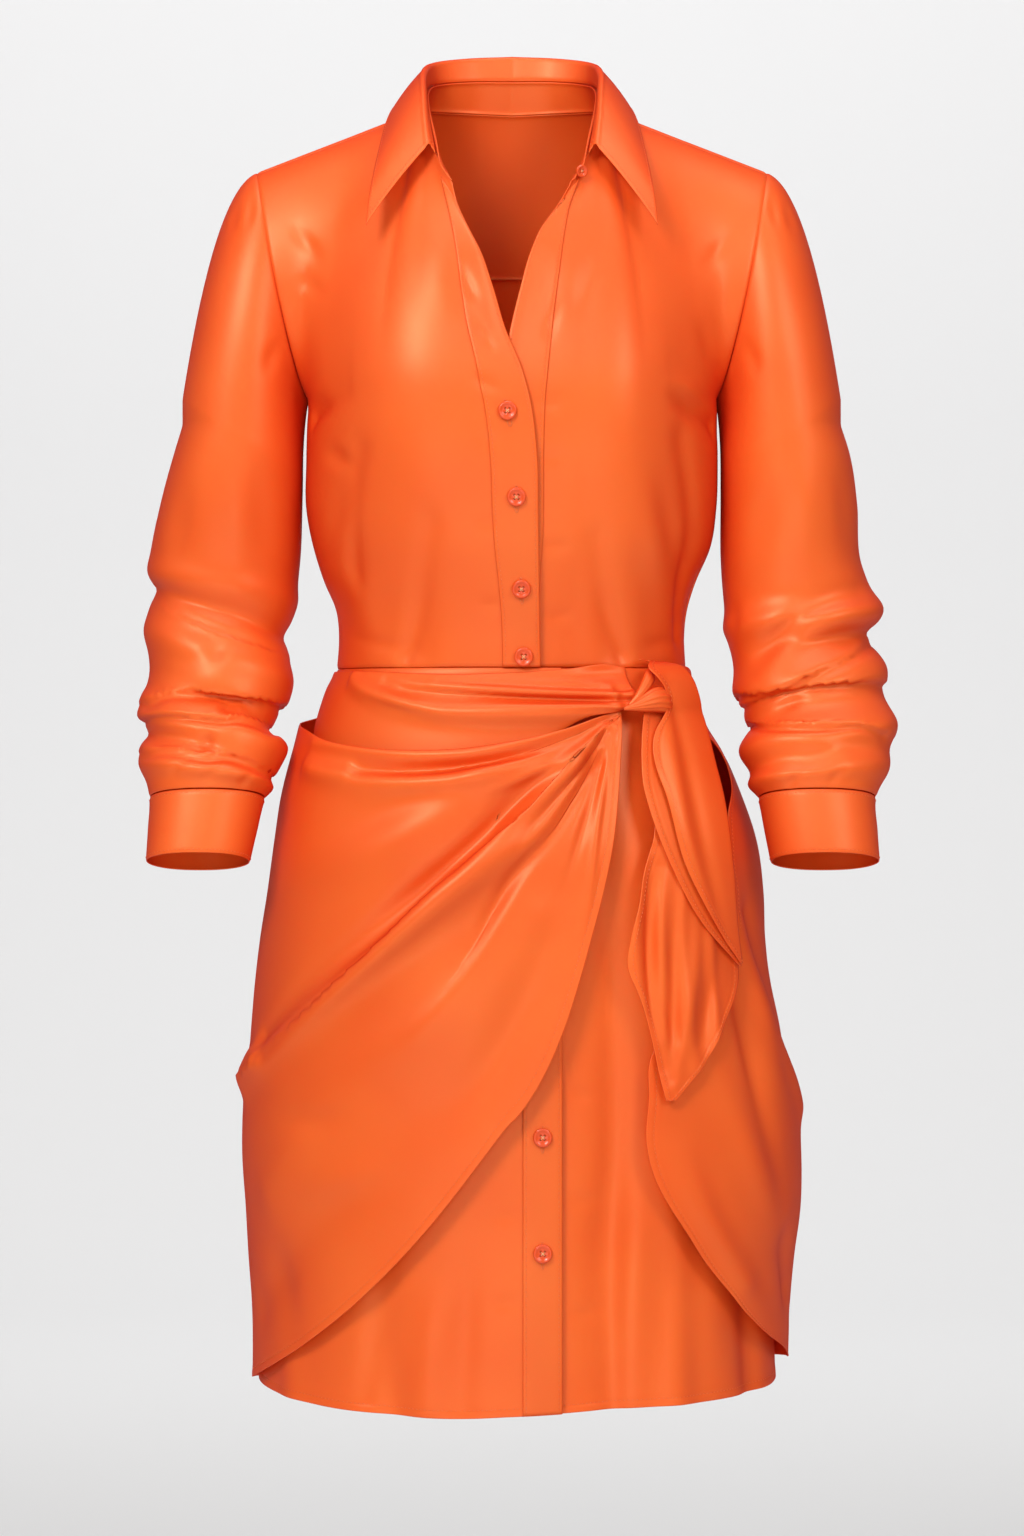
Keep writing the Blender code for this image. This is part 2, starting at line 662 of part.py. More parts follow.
def make_sleeves():
    front_ways = [climb for climb in FRONT_DOWN if climb >= 0]
    start = float(back_seam(np.array(1.0)))
    back_part = [part * (start - HALF_SEAM) for part in BACK_PART if part > 0]
    yoke_ways = [start + (TOP_CLIMB - start) * part for part in YOKE_PART[1:-1]]
    ways = front_ways[:-1] + [1.0] + sorted(2 - climb for climb in back_part + yoke_ways) + [2.0]
    for side, name in ((-1, "right"), (1, "left")):
        cloth(f"sleeve_{name}", sleeve(side), ways, SLEEVE_DOWN, -side, tube=True)
        cloth(f"cuff_{name}", cuff(side), ways, (0, 0.33, 0.66, 1), -side, tube=True)


# ---------------------------------------------------------------- skirt
HEM_BOTTOM = -924.0
HEM_LINE = Table(
    "turn height",
    [
        (-90, -907), (-60, -914), (-40, -919.5), (-25, -922), (-8, -924), (2, -922), (17, -918.5),
        (40, -915.5), (60, -912.5), (75, -910), (90, -907), (115, -912), (150, -921), (180, -923),
        (210, -921), (245, -912), (270, -907),
    ],
)
SKIRT_EDGE = dict(right_front=35.0, left_front=6.0, band=27.5)  # inner edges of the fronts, band's width
SKIRT_FOLDS = [
    (-62, -620, -60, -760, -56, -925, 0.0, 3.0, 16),
    (-30, -700, -28, -810, -24, -925, 0.0, -4.5, 14),
    (21, -500, 20, -700, 19, -925, -2.0, -5.0, 10),
    (32, -560, 33, -740, 34, -925, 1.0, 5.5, 15),
    (58, -640, 60, -780, 62, -925, 0.0, -5.0, 15),
    (118, -560, 120, -740, 122, -925, 0.0, 6.0, 20),
    (150, -520, 151, -720, 152, -925, 0.0, -5.0, 18),
    (180, -560, 181, -740, 183, -925, 0.0, 6.0, 20),
    (212, -520, 211, -720, 208, -925, 0.0, -5.0, 18),
    (242, -560, 241, -740, 238, -925, 0.0, 6.0, 20),
]


def hem_height(turn):
    return HEM_LINE.at("height", turn)


def skirt_at(turn, down, inward=0.0):
    """The skirt at a turn; down is 0 at the waist seam and 1 at the hem."""
    top = WAIST - SEAM / 2
    height = top + (hem_height(turn) - top) * down
    return moved_out(SKIRT, turn, height, folds(SKIRT_FOLDS, turn, height) - inward)


def skirt_front(side):
    """share is 0 at the inner edge and 1 at the side seam."""
    edge = SKIRT_EDGE["right_front" if side < 0 else "left_front"]

    def surface(share, down):
        height = WAIST + (HEM_BOTTOM - WAIST) * down
        start = turn_at(SKIRT, edge + 0 * height, height)
        turn = start + (side * SIDE_TURN - start) * share
        return skirt_at(turn, down, OVERLAP * near_middle(turn) if side > 0 else 0.0)

    return surface


def skirt_band(share, down):
    """The button band of the right front, share 0 at its inner edge."""
    height = WAIST + (HEM_BOTTOM - WAIST) * down
    x = SKIRT_EDGE["right_front"] - SKIRT_EDGE["band"] * share
    return skirt_at(turn_at(SKIRT, x, height), down, -(LAID + BAND_WALL))


def skirt_back(turn, down):
    return skirt_at(turn, down)


SKIRT_DOWN = (0, 0.04, 0.09, 0.15, 0.23, 0.32, 0.43, 0.55, 0.67, 0.79, 0.9, 1)


def make_skirt():
    top_row = SKIRT_DOWN[2:]
    right = (0, 0.1, 0.2, 0.3, 0.42, 0.54, 0.66, 0.78, 0.89, 1)
    cloth("skirt_front_right", skirt_front(-1), right, SKIRT_DOWN, 1)
    left = (0, 0.08, 0.16, 0.25, 0.34, 0.44, 0.55, 0.66, 0.78, 0.89, 1)
    cloth("skirt_front_left", skirt_front(1), left, SKIRT_DOWN, -1)
    cloth("skirt_placket", skirt_band, (0, 0.5, 1), top_row, 1, BAND_WALL)
    turns = np.concatenate([[180 - SIDE_TURN], np.arange(99, 262, 9), [180 + SIDE_TURN]])
    cloth("skirt_back", skirt_back, turns, SKIRT_DOWN, -1)


# ---------------------------------------------------------------- the wrap
KNOT = dict(x=89.0, height=-420.0, across=16.0, tall=20.0, base=5.9, stands=17.0)
SIDE_EDGE = 100.0  # the wrap's panels end here, just behind the side seam
SEATED = 0.8  # gap to the skirt where they are sewn
# Top edge of the right wrap panel, and its hem: the four points of a curve from the knot to the side.
CREST = Table(
    "turn height",
    [
        (-100, -433), (-90, -438), (-70, -444), (-51, -453), (-26.5, -458.5), (-6, -456), (10.6, -445),
        (20, -438), (30, -435),
    ],
)
RIGHT_HEM = ((25, -452), (9.5, -568), (13.5, -897), (-SIDE_EDGE, -911))
RIGHT_TOP = (28.0, -SIDE_EDGE)  # turns of the ends of its top edge
RIGHT_FOLDS = [
    (24, -440, -4, -468, -40, -472, -1.0, -2.5, 6),
    (22, -447, -14, -484, -62, -470, 1.5, 3.0, 9),
    (18, -466, -12, -542, -66, -662, -3.0, -7.0, 11),
    (14, -470, -13, -556, -78, -690, 4.0, 8.0, 15),
    (18, -470, 1, -546, -21, -650, -3.0, -3.5, 10),
    (10, -500, -20, -640, -60, -770, 0.0, 3.0, 22),
    (2, -640, -30, -760, -70, -850, -1.0, -3.0, 18),
]
# Front edge of the left wrap panel, from the waist down to its corner at the side seam.
LEFT_EDGE = Table(
    "height turn",
    [
        (-394, 42), (-399, 52), (-405, 57), (-413, 61), (-430, 67), (-446, 72), (-460, 79), (-480, 75),
        (-502, 63), (-530, 58), (-566, 58), (-590, 55), (-622, 41), (-653, 31), (-674, 26), (-701, 24.6),
        (-732, 23.6), (-760, 25.8), (-777, 28.8), (-798, 33.8), (-819, 39.5), (-837, 46), (-856, 54),
        (-874, 66), (-886, 79), (-893, 86),
    ],
)
LEFT_FOLDS = [
    (60, -585, 68, -640, 84, -712, 3.0, 4.0, 12),
    (66, -575, 78, -640, 92, -690, -4.0, -2.0, 12),
    (40, -640, 48, -720, 66, -790, 0.0, 4.0, 16),
    (52, -690, 62, -770, 78, -840, -1.0, -5.0, 14),
    (30, -700, 38, -760, 52, -830, 0.0, 2.5, 14),
]


def wrapped(turn, height, lift):
    """A point of the wrap, drawn in to the skirt behind the side seams."""
    point = moved_out(WRAP, turn, height, lift)
    sewn = moved_out(SKIRT, turn, height, folds(SKIRT_FOLDS, turn % 360, height) + SEATED + WALL)
    share = smoothstep((np.abs(turn) - 88) / (SIDE_EDGE - 89))[..., None]
    return point * (1 - share) + sewn * share


def curve_of_four(points, t):
    a, b, c, d = (np.array(p, float) for p in points)
    t = np.asarray(t)[..., None]
    return (1 - t) ** 3 * a + 3 * t * (1 - t) ** 2 * b + 3 * t * t * (1 - t) * c + t**3 * d


def wrap_right(along, down):
    """along runs from the knot to the side seam, down from the top edge to the hem."""
    turn = RIGHT_TOP[0] + (RIGHT_TOP[1] - RIGHT_TOP[0]) * along
    top = np.stack([turn, CREST.at("height", turn)], axis=-1)
    place = top + (curve_of_four(RIGHT_HEM, along) - top) * np.asarray(down)[..., None]
    turn, height = place[..., 0], place[..., 1]
    lift = folds(RIGHT_FOLDS, turn, height) * smoothstep((28 - turn) / 14)
    return wrapped(turn, height, lift)


def wrap_left(along, down):
    """along runs from the front edge to the side seam, down from the waist to the bottom corner."""
    edge_height = LEFT_EDGE.key[-1] + (LEFT_EDGE.key[0] - LEFT_EDGE.key[-1]) * down
    turn = LEFT_EDGE.at("turn", edge_height)
    side_height = WAIST - 1 + (-896 - WAIST + 1) * down
    turn = turn + (SIDE_EDGE - turn) * along
    height = edge_height + (side_height - edge_height) * along
    return wrapped(turn, height, folds(LEFT_FOLDS, turn, height))


# The band at the waist: its upper edge, and the roll of gathered cloth that runs along it into the knot.
BAND_TOP = Table("turn height", [(-100, -402), (-57, -402), (-3, -404), (15, -401), (29, -398), (36, -400)])
BAND_LOW = Table(
    "turn height",
    [(-100, -432), (-92, -438), (-84, -446), (-70, -453), (-51, -458), (-26.5, -463), (-6, -461), (8, -449),
     (18, -437), (29, -432), (36, -428)],
)
BAND_FOLDS = [
    (-57, -407, -20, -431, 28, -429, 4.0, 5.0, 7),
    (-40, -410, -10, -423, 26, -423, -1.0, -2.0, 4),
    (-50, -403, -12, -413, 28, -418, 0.5, 3.0, 5),
    (24, -418, 31, -422, 37, -424, 1.0, 9.0, 10),
]


def tie_band(turn, down):
    top, low = BAND_TOP.at("height", turn), BAND_LOW.at("height", turn)
    height = top + (low - top) * down
    point = moved_out(BAND, turn, height, folds(BAND_FOLDS, turn, height))
    sewn = moved_out(SKIRT, turn, height, SEATED + WALL)
    share = smoothstep((np.abs(turn) - 88) / (SIDE_EDGE - 89))[..., None]
    return point * (1 - share) + sewn * share


# The two hanging tails, seen from the front: x of their edges at each height.
TAIL_UPPER = Table(
    "height left right lift",
    [
        (-408, 92, 108, 4.2), (-424, 90, 119, 4.6), (-440, 88.7, 127, 5.4), (-465, 87.3, 133, 9),
        (-486, 88.7, 138.6, 10.5), (-508, 95.6, 142.8, 11), (-540, 107.4, 146.5, 10.5), (-566, 120, 149, 10),
        (-583, 130, 151.5, 9.5), (-594, 140.7, 153, 9), (-604, 147.6, 154.2, 8.5),
    ],
)
TAIL_UNDER = Table(
    "height left right lift",
    [
        (-424, 96, 112, 2.0), (-450, 98, 120, 3.5), (-486, 98, 126, 5), (-524, 96.3, 134, 5.5),
        (-545, 90, 140, 5.5), (-566, 86.6, 145, 5.5), (-590, 81, 150, 5.5), (-610, 79, 155, 5.5),
        (-630, 86.6, 153.5, 5.5), (-646, 92, 147.5, 5.5), (-660, 95.6, 141.5, 5.5), (-673, 98.5, 135, 5.5),
        (-690, 102, 123, 5.5), (-703, 105.5, 112, 5.5),
    ],
)
UPPER_FOLDS = [
    (42, -458, 45, -490, 54, -560, 2.0, 3.0, 7),
    (48, -458, 51, -500, 56, -590, -2.0, -2.5, 6),
]
UNDER_FOLDS = [
    (38, -520, 36, -580, 36, -680, 3.0, 2.0, 7),
    (45, -560, 45, -620, 43, -670, 2.5, 2.0, 6),
    (32, -540, 29, -600, 33, -660, -2.0, -1.0, 6),
]


def hanging(table, rows, tucked=0.0):
    """A tail that lies over the wrap. across runs over its width and down over its length."""

    def surface(across, down):
        height = table.key[-1] + (table.key[0] - table.key[-1]) * down
        left, right = table.at("left", height), table.at("right", height)
        x = left + (right - left) * across
        turn = turn_at(WRAP, x, height)
        lift = table.at("lift", height) + folds(rows, turn, height) - tucked
        return moved_out(WRAP, turn, height, lift)

    return surface


def knot(layer):
    """The knot as a pillow: layer 0 is its back, 1 its front with grooves between its turns of cloth."""

    def surface(a, b):
        across = a * np.sqrt(1 - b * b / 2)
        tall = b * np.sqrt(1 - a * a / 2)
        x = KNOT["x"] + KNOT["across"] * across + 2.0 * tall
        height = KNOT["height"] + KNOT["tall"] * tall
        round_share = np.sqrt(np.clip(1 - across**2 - tall**2, 0, 1))
        groove = np.cos(2.4 * (tall * 1.4 + across * 1.1)) * 0.12 + 0.88
        stands = 1.2 + KNOT["stands"] * round_share * groove
        turn = turn_at(WRAP, x, height)
        return moved_out(WRAP, turn, height, KNOT["base"] + stands * layer)

    return surface


def make_wrap():
    along = np.linspace(0, 0.87, 15).tolist() + [0.91, 0.95, 1]
    down = (0, 0.03, 0.08, 0.14, 0.2, 0.26, 0.32, 0.37, 0.42, 0.47, 0.52, 0.58, 0.66, 0.76, 0.88, 1)
    cloth("wrap_right", wrap_right, along, down, 1)
    along = (0, 0.1, 0.22, 0.34, 0.46, 0.58, 0.7, 0.8, 0.87, 0.93, 1)
    down = np.concatenate([np.linspace(0, 0.9, 20), [0.94, 0.975, 1]])
    cloth("wrap_left", wrap_left, along, down, -1)
    turns = np.concatenate([[-100, -96, -92, -88], np.linspace(-80, 36, 16)])
    cloth("tie_band", tie_band, turns, (0, 0.14, 0.28, 0.42, 0.56, 0.7, 0.85, 1), -1)
    across = np.linspace(0, 1, 6)
    cloth("tail_upper", hanging(TAIL_UPPER, UPPER_FOLDS), across, np.linspace(0, 1, 16), -1)
    cloth("tail_under", hanging(TAIL_UNDER, UNDER_FOLDS), across, np.linspace(0, 1, 20), -1)
    side = np.linspace(-1, 1, 9)
    cloth("knot", knot(1), side, side, 1, inner=knot(0))


# ---------------------------------------------------------------- buttons
BODICE_BUTTONS = (-221.0, -281.0, -345.0)  # heights
LOW_BUTTON = -393.0  # the lowest one, at the edge of the waist band
SKIRT_BUTTONS = (-730.0, -811.0)


def button(name, middle, outward, gap=0.6, across=BUTTON_ACROSS):
    """A disc with a soft rim, its back a small gap off middle."""
    disc = bmesh.new()
    radius = across / 2000
    thick = BUTTON_THICK / 1000
    bmesh.ops.create_cone(disc, cap_ends=True, segments=20, radius1=radius, radius2=radius, depth=thick)
    top = [edge for edge in disc.edges if all(vert.co.z > 0 for vert in edge.verts)]
    bmesh.ops.bevel(disc, geom=top, offset=0.0007, segments=2, profile=0.5, affect="EDGES", material=-1)
    thing = finished(name, disc, BUTTON)
    outward = np.asarray(outward) / np.linalg.norm(outward)
    thing.rotation_mode = "QUATERNION"
    thing.rotation_quaternion = Vector(outward.tolist()).to_track_quat("Z", "Y")
    thing.location = ((np.asarray(middle) + outward * (gap + BUTTON_THICK / 2)) / 1000).tolist()
    return thing


def make_buttons():
    for number, height in enumerate(BODICE_BUTTONS + (LOW_BUTTON,), start=1):
        climb = (height - UNDERARM) / (UNDERARM - WAIST)
        gap = 0.8 if height == LOW_BUTTON else 0.5
        button(f"bodice_button_{number}", *spot(placket(-1), np.float64(0.5), np.float64(climb), -1), gap)
    for number, height in enumerate(SKIRT_BUTTONS, start=1):
        down = (height - WAIST) / (HEM_BOTTOM - WAIST)
        button(f"skirt_button_{number}", *spot(skirt_band, np.float64(0.5), np.float64(down), 1))
    stand_end = collar_stand(np.float64(1), np.float64(0.6))
    button("collar_button", stand_end, COLLAR_BUTTON_AIM, 0.7, COLLAR_BUTTON_ACROSS)


clear_scene()
CLOTH = satin("orange_satin", (0.95, 0.15, 0.03), 0.35)
BUTTON = satin("orange_button", (0.93, 0.16, 0.04), 0.25)
make_bodice()
make_collar()
make_sleeves()
make_skirt()
make_wrap()
make_buttons()
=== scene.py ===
# %% [markdown]
# # A satin shirt dress, piece by piece
# The dress is worn and hollow: two bodice fronts with button bands, a back with a yoke, a pointed collar
# on a stand, pushed-up sleeves with cuffs, a short skirt, and over it a wrap whose ends are knotted at
# the left hip. The CAD model already says where every piece is. Here each piece is made again as a thin
# sheet of satin on the same form, with its creases, hems and stitches, and it hides the plain solid that
# it stands for.

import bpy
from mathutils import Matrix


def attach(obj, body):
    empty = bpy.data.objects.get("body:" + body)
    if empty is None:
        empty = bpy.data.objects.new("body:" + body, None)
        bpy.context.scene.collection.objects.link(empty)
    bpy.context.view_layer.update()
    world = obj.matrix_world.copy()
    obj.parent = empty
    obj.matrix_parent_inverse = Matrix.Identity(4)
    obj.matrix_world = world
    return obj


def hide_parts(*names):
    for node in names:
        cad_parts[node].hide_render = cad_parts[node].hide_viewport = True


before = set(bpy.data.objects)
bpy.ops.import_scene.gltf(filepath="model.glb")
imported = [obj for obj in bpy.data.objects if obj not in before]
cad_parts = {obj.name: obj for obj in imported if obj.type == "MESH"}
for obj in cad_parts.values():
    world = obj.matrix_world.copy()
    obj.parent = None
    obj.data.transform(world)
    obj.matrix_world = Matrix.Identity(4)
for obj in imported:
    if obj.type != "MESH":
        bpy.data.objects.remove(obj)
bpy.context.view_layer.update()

import bmesh
import bpy
import numpy as np
from mathutils import Matrix, Vector

# %% [markdown]
# ## Sizes
# Everything is worked out in millimetres and becomes metres when a mesh gets its points. +X is the
# wearer's left, -Y the front and +Z up, with the origin in the middle of the neck. Satin is about a third
# of a millimetre thick, but every edge here is turned over, so the sheets get a little more.

# %% Driving sizes
CLOTH_THICK = 0.8
BAND_THICK = 0.7
GRID_STEP = 3.0  # distance between the rows of a sheet's mesh
PLAIN_STEP = 4.5  # the same where the cloth is nearly plain
SEAM = 0.4
LAID = 0.35  # gap under a band that lies on a front
STITCH_PITCH = 3.1
HEM_DEPTH = 5.6  # from an edge to its row of stitches
WALL = 1.3  # thickness of the CAD model's walls, which pieces that lie on each other keep
BAND_WALL = 1.0
UNDERARM = -206.0
WAIST = -400.0
SIDE_TURN = 90.0 - np.degrees(SEAM / 2 / 140)  # where a front or back piece ends at the side seam
NECK_SHARE = 0.42  # share of a panel's width that ends in the neckline
OVERLAP = 4.4  # how far the left front lies behind the right one
SHOULDER_TIP = (184.0, -4.0, -43.5)
ARMHOLE_OUT = (0.974, 0.0, -0.227)  # the way a sleeve leaves the body
MM_PER_TURN = 2.97
SQUARENESS = 2.3

# %% [markdown]
# ## Reading a short table as a smooth curve
# A dressmaker's pattern is a list of measures at a few heights. A cubic curve through such rows gives
# every height between them, and the slope at a row is the mean of the slopes on its two sides.


# %% Table
class Table:
    """Named columns against the first one."""

    def __init__(self, names, rows):
        values = np.array(sorted(rows), float).T
        self.columns = dict(zip(names.split(), values))
        self.key = values[0]

    def at(self, name, where):
        x, y = self.key, self.columns[name]
        slope = np.gradient(y, x)
        where = np.clip(np.asarray(where, float), x[0], x[-1])
        i = np.clip(np.searchsorted(x, where) - 1, 0, len(x) - 2)
        h = x[i + 1] - x[i]
        t = (where - x[i]) / h
        t2, t3 = t * t, t * t * t
        ends = (2 * t3 - 3 * t2 + 1) * y[i] + (3 * t2 - 2 * t3) * y[i + 1]
        return ends + ((t3 - 2 * t2 + t) * slope[i] + (t3 - t2) * slope[i + 1]) * h

    def points(self, names, where):
        return np.stack([self.at(name, where) for name in names.split()], axis=-1)


def smoothstep(t):
    t = np.clip(t, 0, 1)
    return t * t * (3 - 2 * t)


# %% [markdown]
# ## The form under the cloth
# A worn dress has a section at every height: half widths to the right and left, depths to the front and
# back. A power a little above 2 makes it fuller than an ellipse, as a body is. Three forms follow: the
# bodice, the skirt, and the wrap, which hangs further out.

# %% Sections
SECTION = "height right left front back"
BODICE = Table(
    SECTION,
    [
        (-170, 147, 147, 108, 102),
        (-206, 147, 147, 112, 102),
        (-250, 148, 148, 112, 100),
        (-285, 148, 147, 109, 97),
        (-312, 143, 143, 106, 93),
        (-338, 135, 132, 101, 89),
        (-358, 128, 126, 97, 86),
        (-378, 125, 124, 94, 83),
        (-400, 126, 125, 93, 82),
        (-420, 128, 127, 94, 83),
    ],
)
SKIRT = Table(
    SECTION,
    [
        (-380, 125, 124, 93, 82),
        (-400, 126, 125, 93, 82),
        (-425, 134, 133, 98, 88),
        (-470, 147, 146, 108, 102),
        (-520, 158, 158, 118, 118),
        (-590, 170, 172, 125, 129),
        (-680, 178, 181, 130, 131),
        (-780, 180, 186, 133, 131),
        (-860, 181, 188, 135, 131),
        (-930, 182, 190, 136, 132),
    ],
)
# The band at the waist, and the wrap panels, which hang a little clear of the skirt, furthest at the hips.
BAND = Table(
    SECTION,
    [
        (-392, 128.0, 127.0, 96.0, 84),
        (-402, 128.2, 127.4, 95.4, 84),
        (-415, 134, 132, 101, 88),
        (-430, 139, 138, 105, 93),
        (-450, 144.5, 143.5, 109, 98),
        (-470, 150, 149, 112, 104),
    ],
)
WRAP = Table(
    SECTION,
    [
        (-385, 131, 127, 99, 86),
        (-400, 134, 128.5, 101, 88),
        (-430, 150, 137, 110, 96),
        (-455, 157, 150, 117, 104),
        (-490, 166, 165, 124, 116),
        (-523, 171, 176, 130, 124),
        (-560, 176, 181, 134, 131),
        (-592, 181, 182, 137, 134),
        (-626, 185, 186, 140, 136),
        (-661, 188, 194, 142, 137),
        (-700, 192.5, 204, 143, 138),
        (-747, 194, 208, 145, 138),
        (-785, 191.5, 207.5, 146, 138),
        (-820, 189.5, 203, 146, 138),
        (-855, 187, 200, 146, 138),
        (-920, 186.5, 198, 146, 138),
    ],
)


# %% Points on a section
BUST = dict(out=78.0, height=-202.0, forward=9.0, across=46.0, above=62.0, below=92.0)


def ring(form, turn, height, bust=0.0):
    """Point of a section at a turn in degrees and a height. bust is the share of the bust's fullness."""
    turn, height = np.broadcast_arrays(np.asarray(turn, float), np.asarray(height, float))
    s, c = np.sin(np.radians(turn)), np.cos(np.radians(turn))
    half = np.where(s < 0, form.at("right", height), form.at("left", height))
    depth = np.where(c > 0, form.at("front", height), form.at("back", height))
    power = 2 / SQUARENESS
    x = half * np.sign(s) * np.abs(s) ** power
    y = -depth * np.sign(c) * np.abs(c) ** power
    drop = height - BUST["height"]
    spread = np.where(drop > 0, BUST["above"], BUST["below"])
    full = np.exp(-(((np.abs(x) - BUST["out"]) / BUST["across"]) ** 2) - (drop / spread) ** 2)
    y = y - bust * BUST["forward"] * full * np.clip(c * 3, 0, 1)
    return np.stack([x, y, height], axis=-1)


def turn_at(form, x, height):
    """The turn on the front half of a section where it is x from the middle."""
    half = np.where(x < 0, form.at("right", height), form.at("left", height))
    share = np.clip(np.abs(x) / half, 0, 1) ** (SQUARENESS / 2)
    return np.degrees(np.arcsin(share)) * np.sign(x)


def moved_out(form, turn, height, distance):
    """A point of a section moved square away from the surface."""
    step = 0.5
    along = ring(form, turn + step, height) - ring(form, turn - step, height)
    up = ring(form, turn, height + step) - ring(form, turn, height - step)
    normal = np.cross(along, up)
    normal /= np.linalg.norm(normal, axis=-1, keepdims=True)
    return ring(form, turn, height) + normal * np.asarray(distance)[..., None]


# %% [markdown]
# ## Broad folds
# The deepest folds are the ones the solids have too: soft ridges and troughs along a path of three points.

# %% Broad folds
FOLD = "turn_a height_a turn_b height_b turn_c height_c rise_a rise_c width"


def folds(rows, turn, height):
    """How far folds lift the cloth. A fold runs from a over b to c, and rises by rise_a and rise_c there."""
    lift = np.zeros(np.broadcast(turn, height).shape)
    for row in rows:
        fold = dict(zip(FOLD.split(), row))
        t = np.linspace(0, 1, 13)
        weights = (1 - t) * (1 - 2 * t), 4 * t * (1 - t), t * (2 * t - 1)  # a curve through all three
        s = sum(w * fold[f"turn_{p}"] for w, p in zip(weights, "abc")) * MM_PER_TURN
        z = sum(w * fold[f"height_{p}"] for w, p in zip(weights, "abc"))
        nearest = np.full(lift.shape, np.inf)
        along = np.zeros(lift.shape)
        for i in range(len(t) - 1):
            ds, dz = s[i + 1] - s[i], z[i + 1] - z[i]
            to_s, to_z = turn * MM_PER_TURN - s[i], height - z[i]
            part = np.clip((to_s * ds + to_z * dz) / (ds * ds + dz * dz), 0, 1)
            away = np.hypot(to_s - part * ds, to_z - part * dz)
            along = np.where(away < nearest, t[i] + part * (t[1] - t[0]), along)
            nearest = np.minimum(nearest, away)
        rise = fold["rise_a"] + (fold["rise_c"] - fold["rise_a"]) * along
        lift = lift + rise * np.exp(-((nearest / fold["width"]) ** 2))
    return lift

# %% [markdown]
# ## Creases
# Between the broad folds satin takes small creases. Some are soft troughs or ridges, and some are tucks,
# where the cloth above slumps over the cloth below and hides a dark line. Each is one row: how high it
# stands at its start, middle and end, how wide it is above and below its line, how far it slumps over, and
# its path in the front view. A path runs from the image's left to its right, so that above is above.


# %% Creases
def smooth_path(points):
    path = np.array(points, float)
    for _ in range(2):
        near, far = path[:-1] * 0.75 + path[1:] * 0.25, path[:-1] * 0.25 + path[1:] * 0.75
        path = np.concatenate([path[:1], np.stack([near, far], axis=1).reshape(-1, 2), path[-1:]])
    return path


def creased(rows, across, up):
    """(lift, slump across, slump up) at places given in developed millimetres."""
    lift, slide_across, slide_up = (np.zeros(np.broadcast(across, up).shape) for _ in range(3))
    for start, middle, end, above, below, over, *points in rows:
        path = smooth_path(points)
        lengths = np.concatenate([[0], np.cumsum(np.linalg.norm(np.diff(path, axis=0), axis=1))])
        nearest = np.full(lift.shape, np.inf)
        share, side = np.zeros(lift.shape), np.ones(lift.shape)
        down_across, down_up = np.zeros(lift.shape), np.zeros(lift.shape)
        for i in range(len(path) - 1):
            step = path[i + 1] - path[i]
            size = np.hypot(*step) + 1e-9
            to_across, to_up = across - path[i, 0], up - path[i, 1]
            part = np.clip((to_across * step[0] + to_up * step[1]) / size**2, 0, 1)
            away = np.hypot(to_across - part * step[0], to_up - part * step[1])
            closer = away < nearest
            share = np.where(closer, (lengths[i] + part * size) / lengths[-1], share)
            side = np.where(closer, np.sign(step[0] * to_up - step[1] * to_across), side)
            down_across = np.where(closer, step[1] / size, down_across)
            down_up = np.where(closer, -step[0] / size, down_up)
            nearest = np.minimum(nearest, away)
        rise = start + (middle - start) * smoothstep(share * 2) + (end - middle) * smoothstep(share * 2 - 1)
        wide = np.where(side > 0, above, below)
        shape = np.exp(-((nearest / wide) ** 2))
        lift = lift + rise * shape
        hang = over * shape * np.where(side > 0, 1, 0.3) * np.minimum(share, 1 - share).clip(0, 0.12) / 0.12
        slide_across = slide_across + hang * down_across
        slide_up = slide_up + hang * down_up
    return lift, slide_across, slide_up


def wrinkled(surface, rows, facing, drift=None):
    """A surface with creases pressed into it, read at each point's x and height in the front view."""

    def moved(u, v):
        point, normal = spot(surface, u, v, facing)
        height = point[..., 2] + (0.0 if drift is None else drift(u, v))
        lift, slide_across, slide_up = creased(rows, point[..., 0], height)
        point = point + normal * lift[..., None]
        point[..., 0] += slide_across
        point[..., 2] += slide_up
        return point

    return moved


def spot(surface, u, v, facing):
    """A point of a surface and the way out of it."""
    step = 1e-3
    along = surface(u + step, v) - surface(u - step, v)
    down = surface(u, v + step) - surface(u, v - step)
    normal = np.cross(along, down)
    normal *= facing / np.maximum(np.linalg.norm(normal, axis=-1, keepdims=True), 1e-12)
    return surface(u, v), normal


def lifted(surface, distance, facing):
    """A surface moved square off another one."""

    def moved(u, v):
        point, normal = spot(surface, u, v, facing)
        return point + normal * distance

    return moved

# %% [markdown]
# ## Rows of a sheet's mesh
# A hem is a turned edge with a row of stitches a few millimetres in, and a seam is an edge that dips
# where it is sewn. Both are narrower than the mesh's own step, so a sheet gets extra rows at fixed
# distances from such edges, however long its columns are. The rest of its rows are spread evenly.

# %% Rows
FINE = 161  # points along each way of the grid that a surface is measured with
EDGE_ROWS = {
    "hem": (0.0, 0.7, 2.6, 4.5, HEM_DEPTH, 6.7, 9.0),
    "seam": (0.0, 0.7, 1.5, 2.8, 4.6),
    "fold": (0.0, 0.7, 2.2),
    "join": (0.0,),
}


def edge_relief(kind, distance):
    """How the cloth stands at a distance from its edge."""
    if kind == "hem":
        stitch_row = np.exp(-(((distance - HEM_DEPTH) / 0.9) ** 2))
        return 0.4 * (1 - smoothstep((distance - HEM_DEPTH) / 2.5)) - 0.4 * stitch_row
    if kind == "seam":
        return -0.75 * np.exp(-((distance / 1.5) ** 2))
    if kind == "fold":
        return -0.35 * np.exp(-((distance / 1.0) ** 2))
    return 0.0 * distance


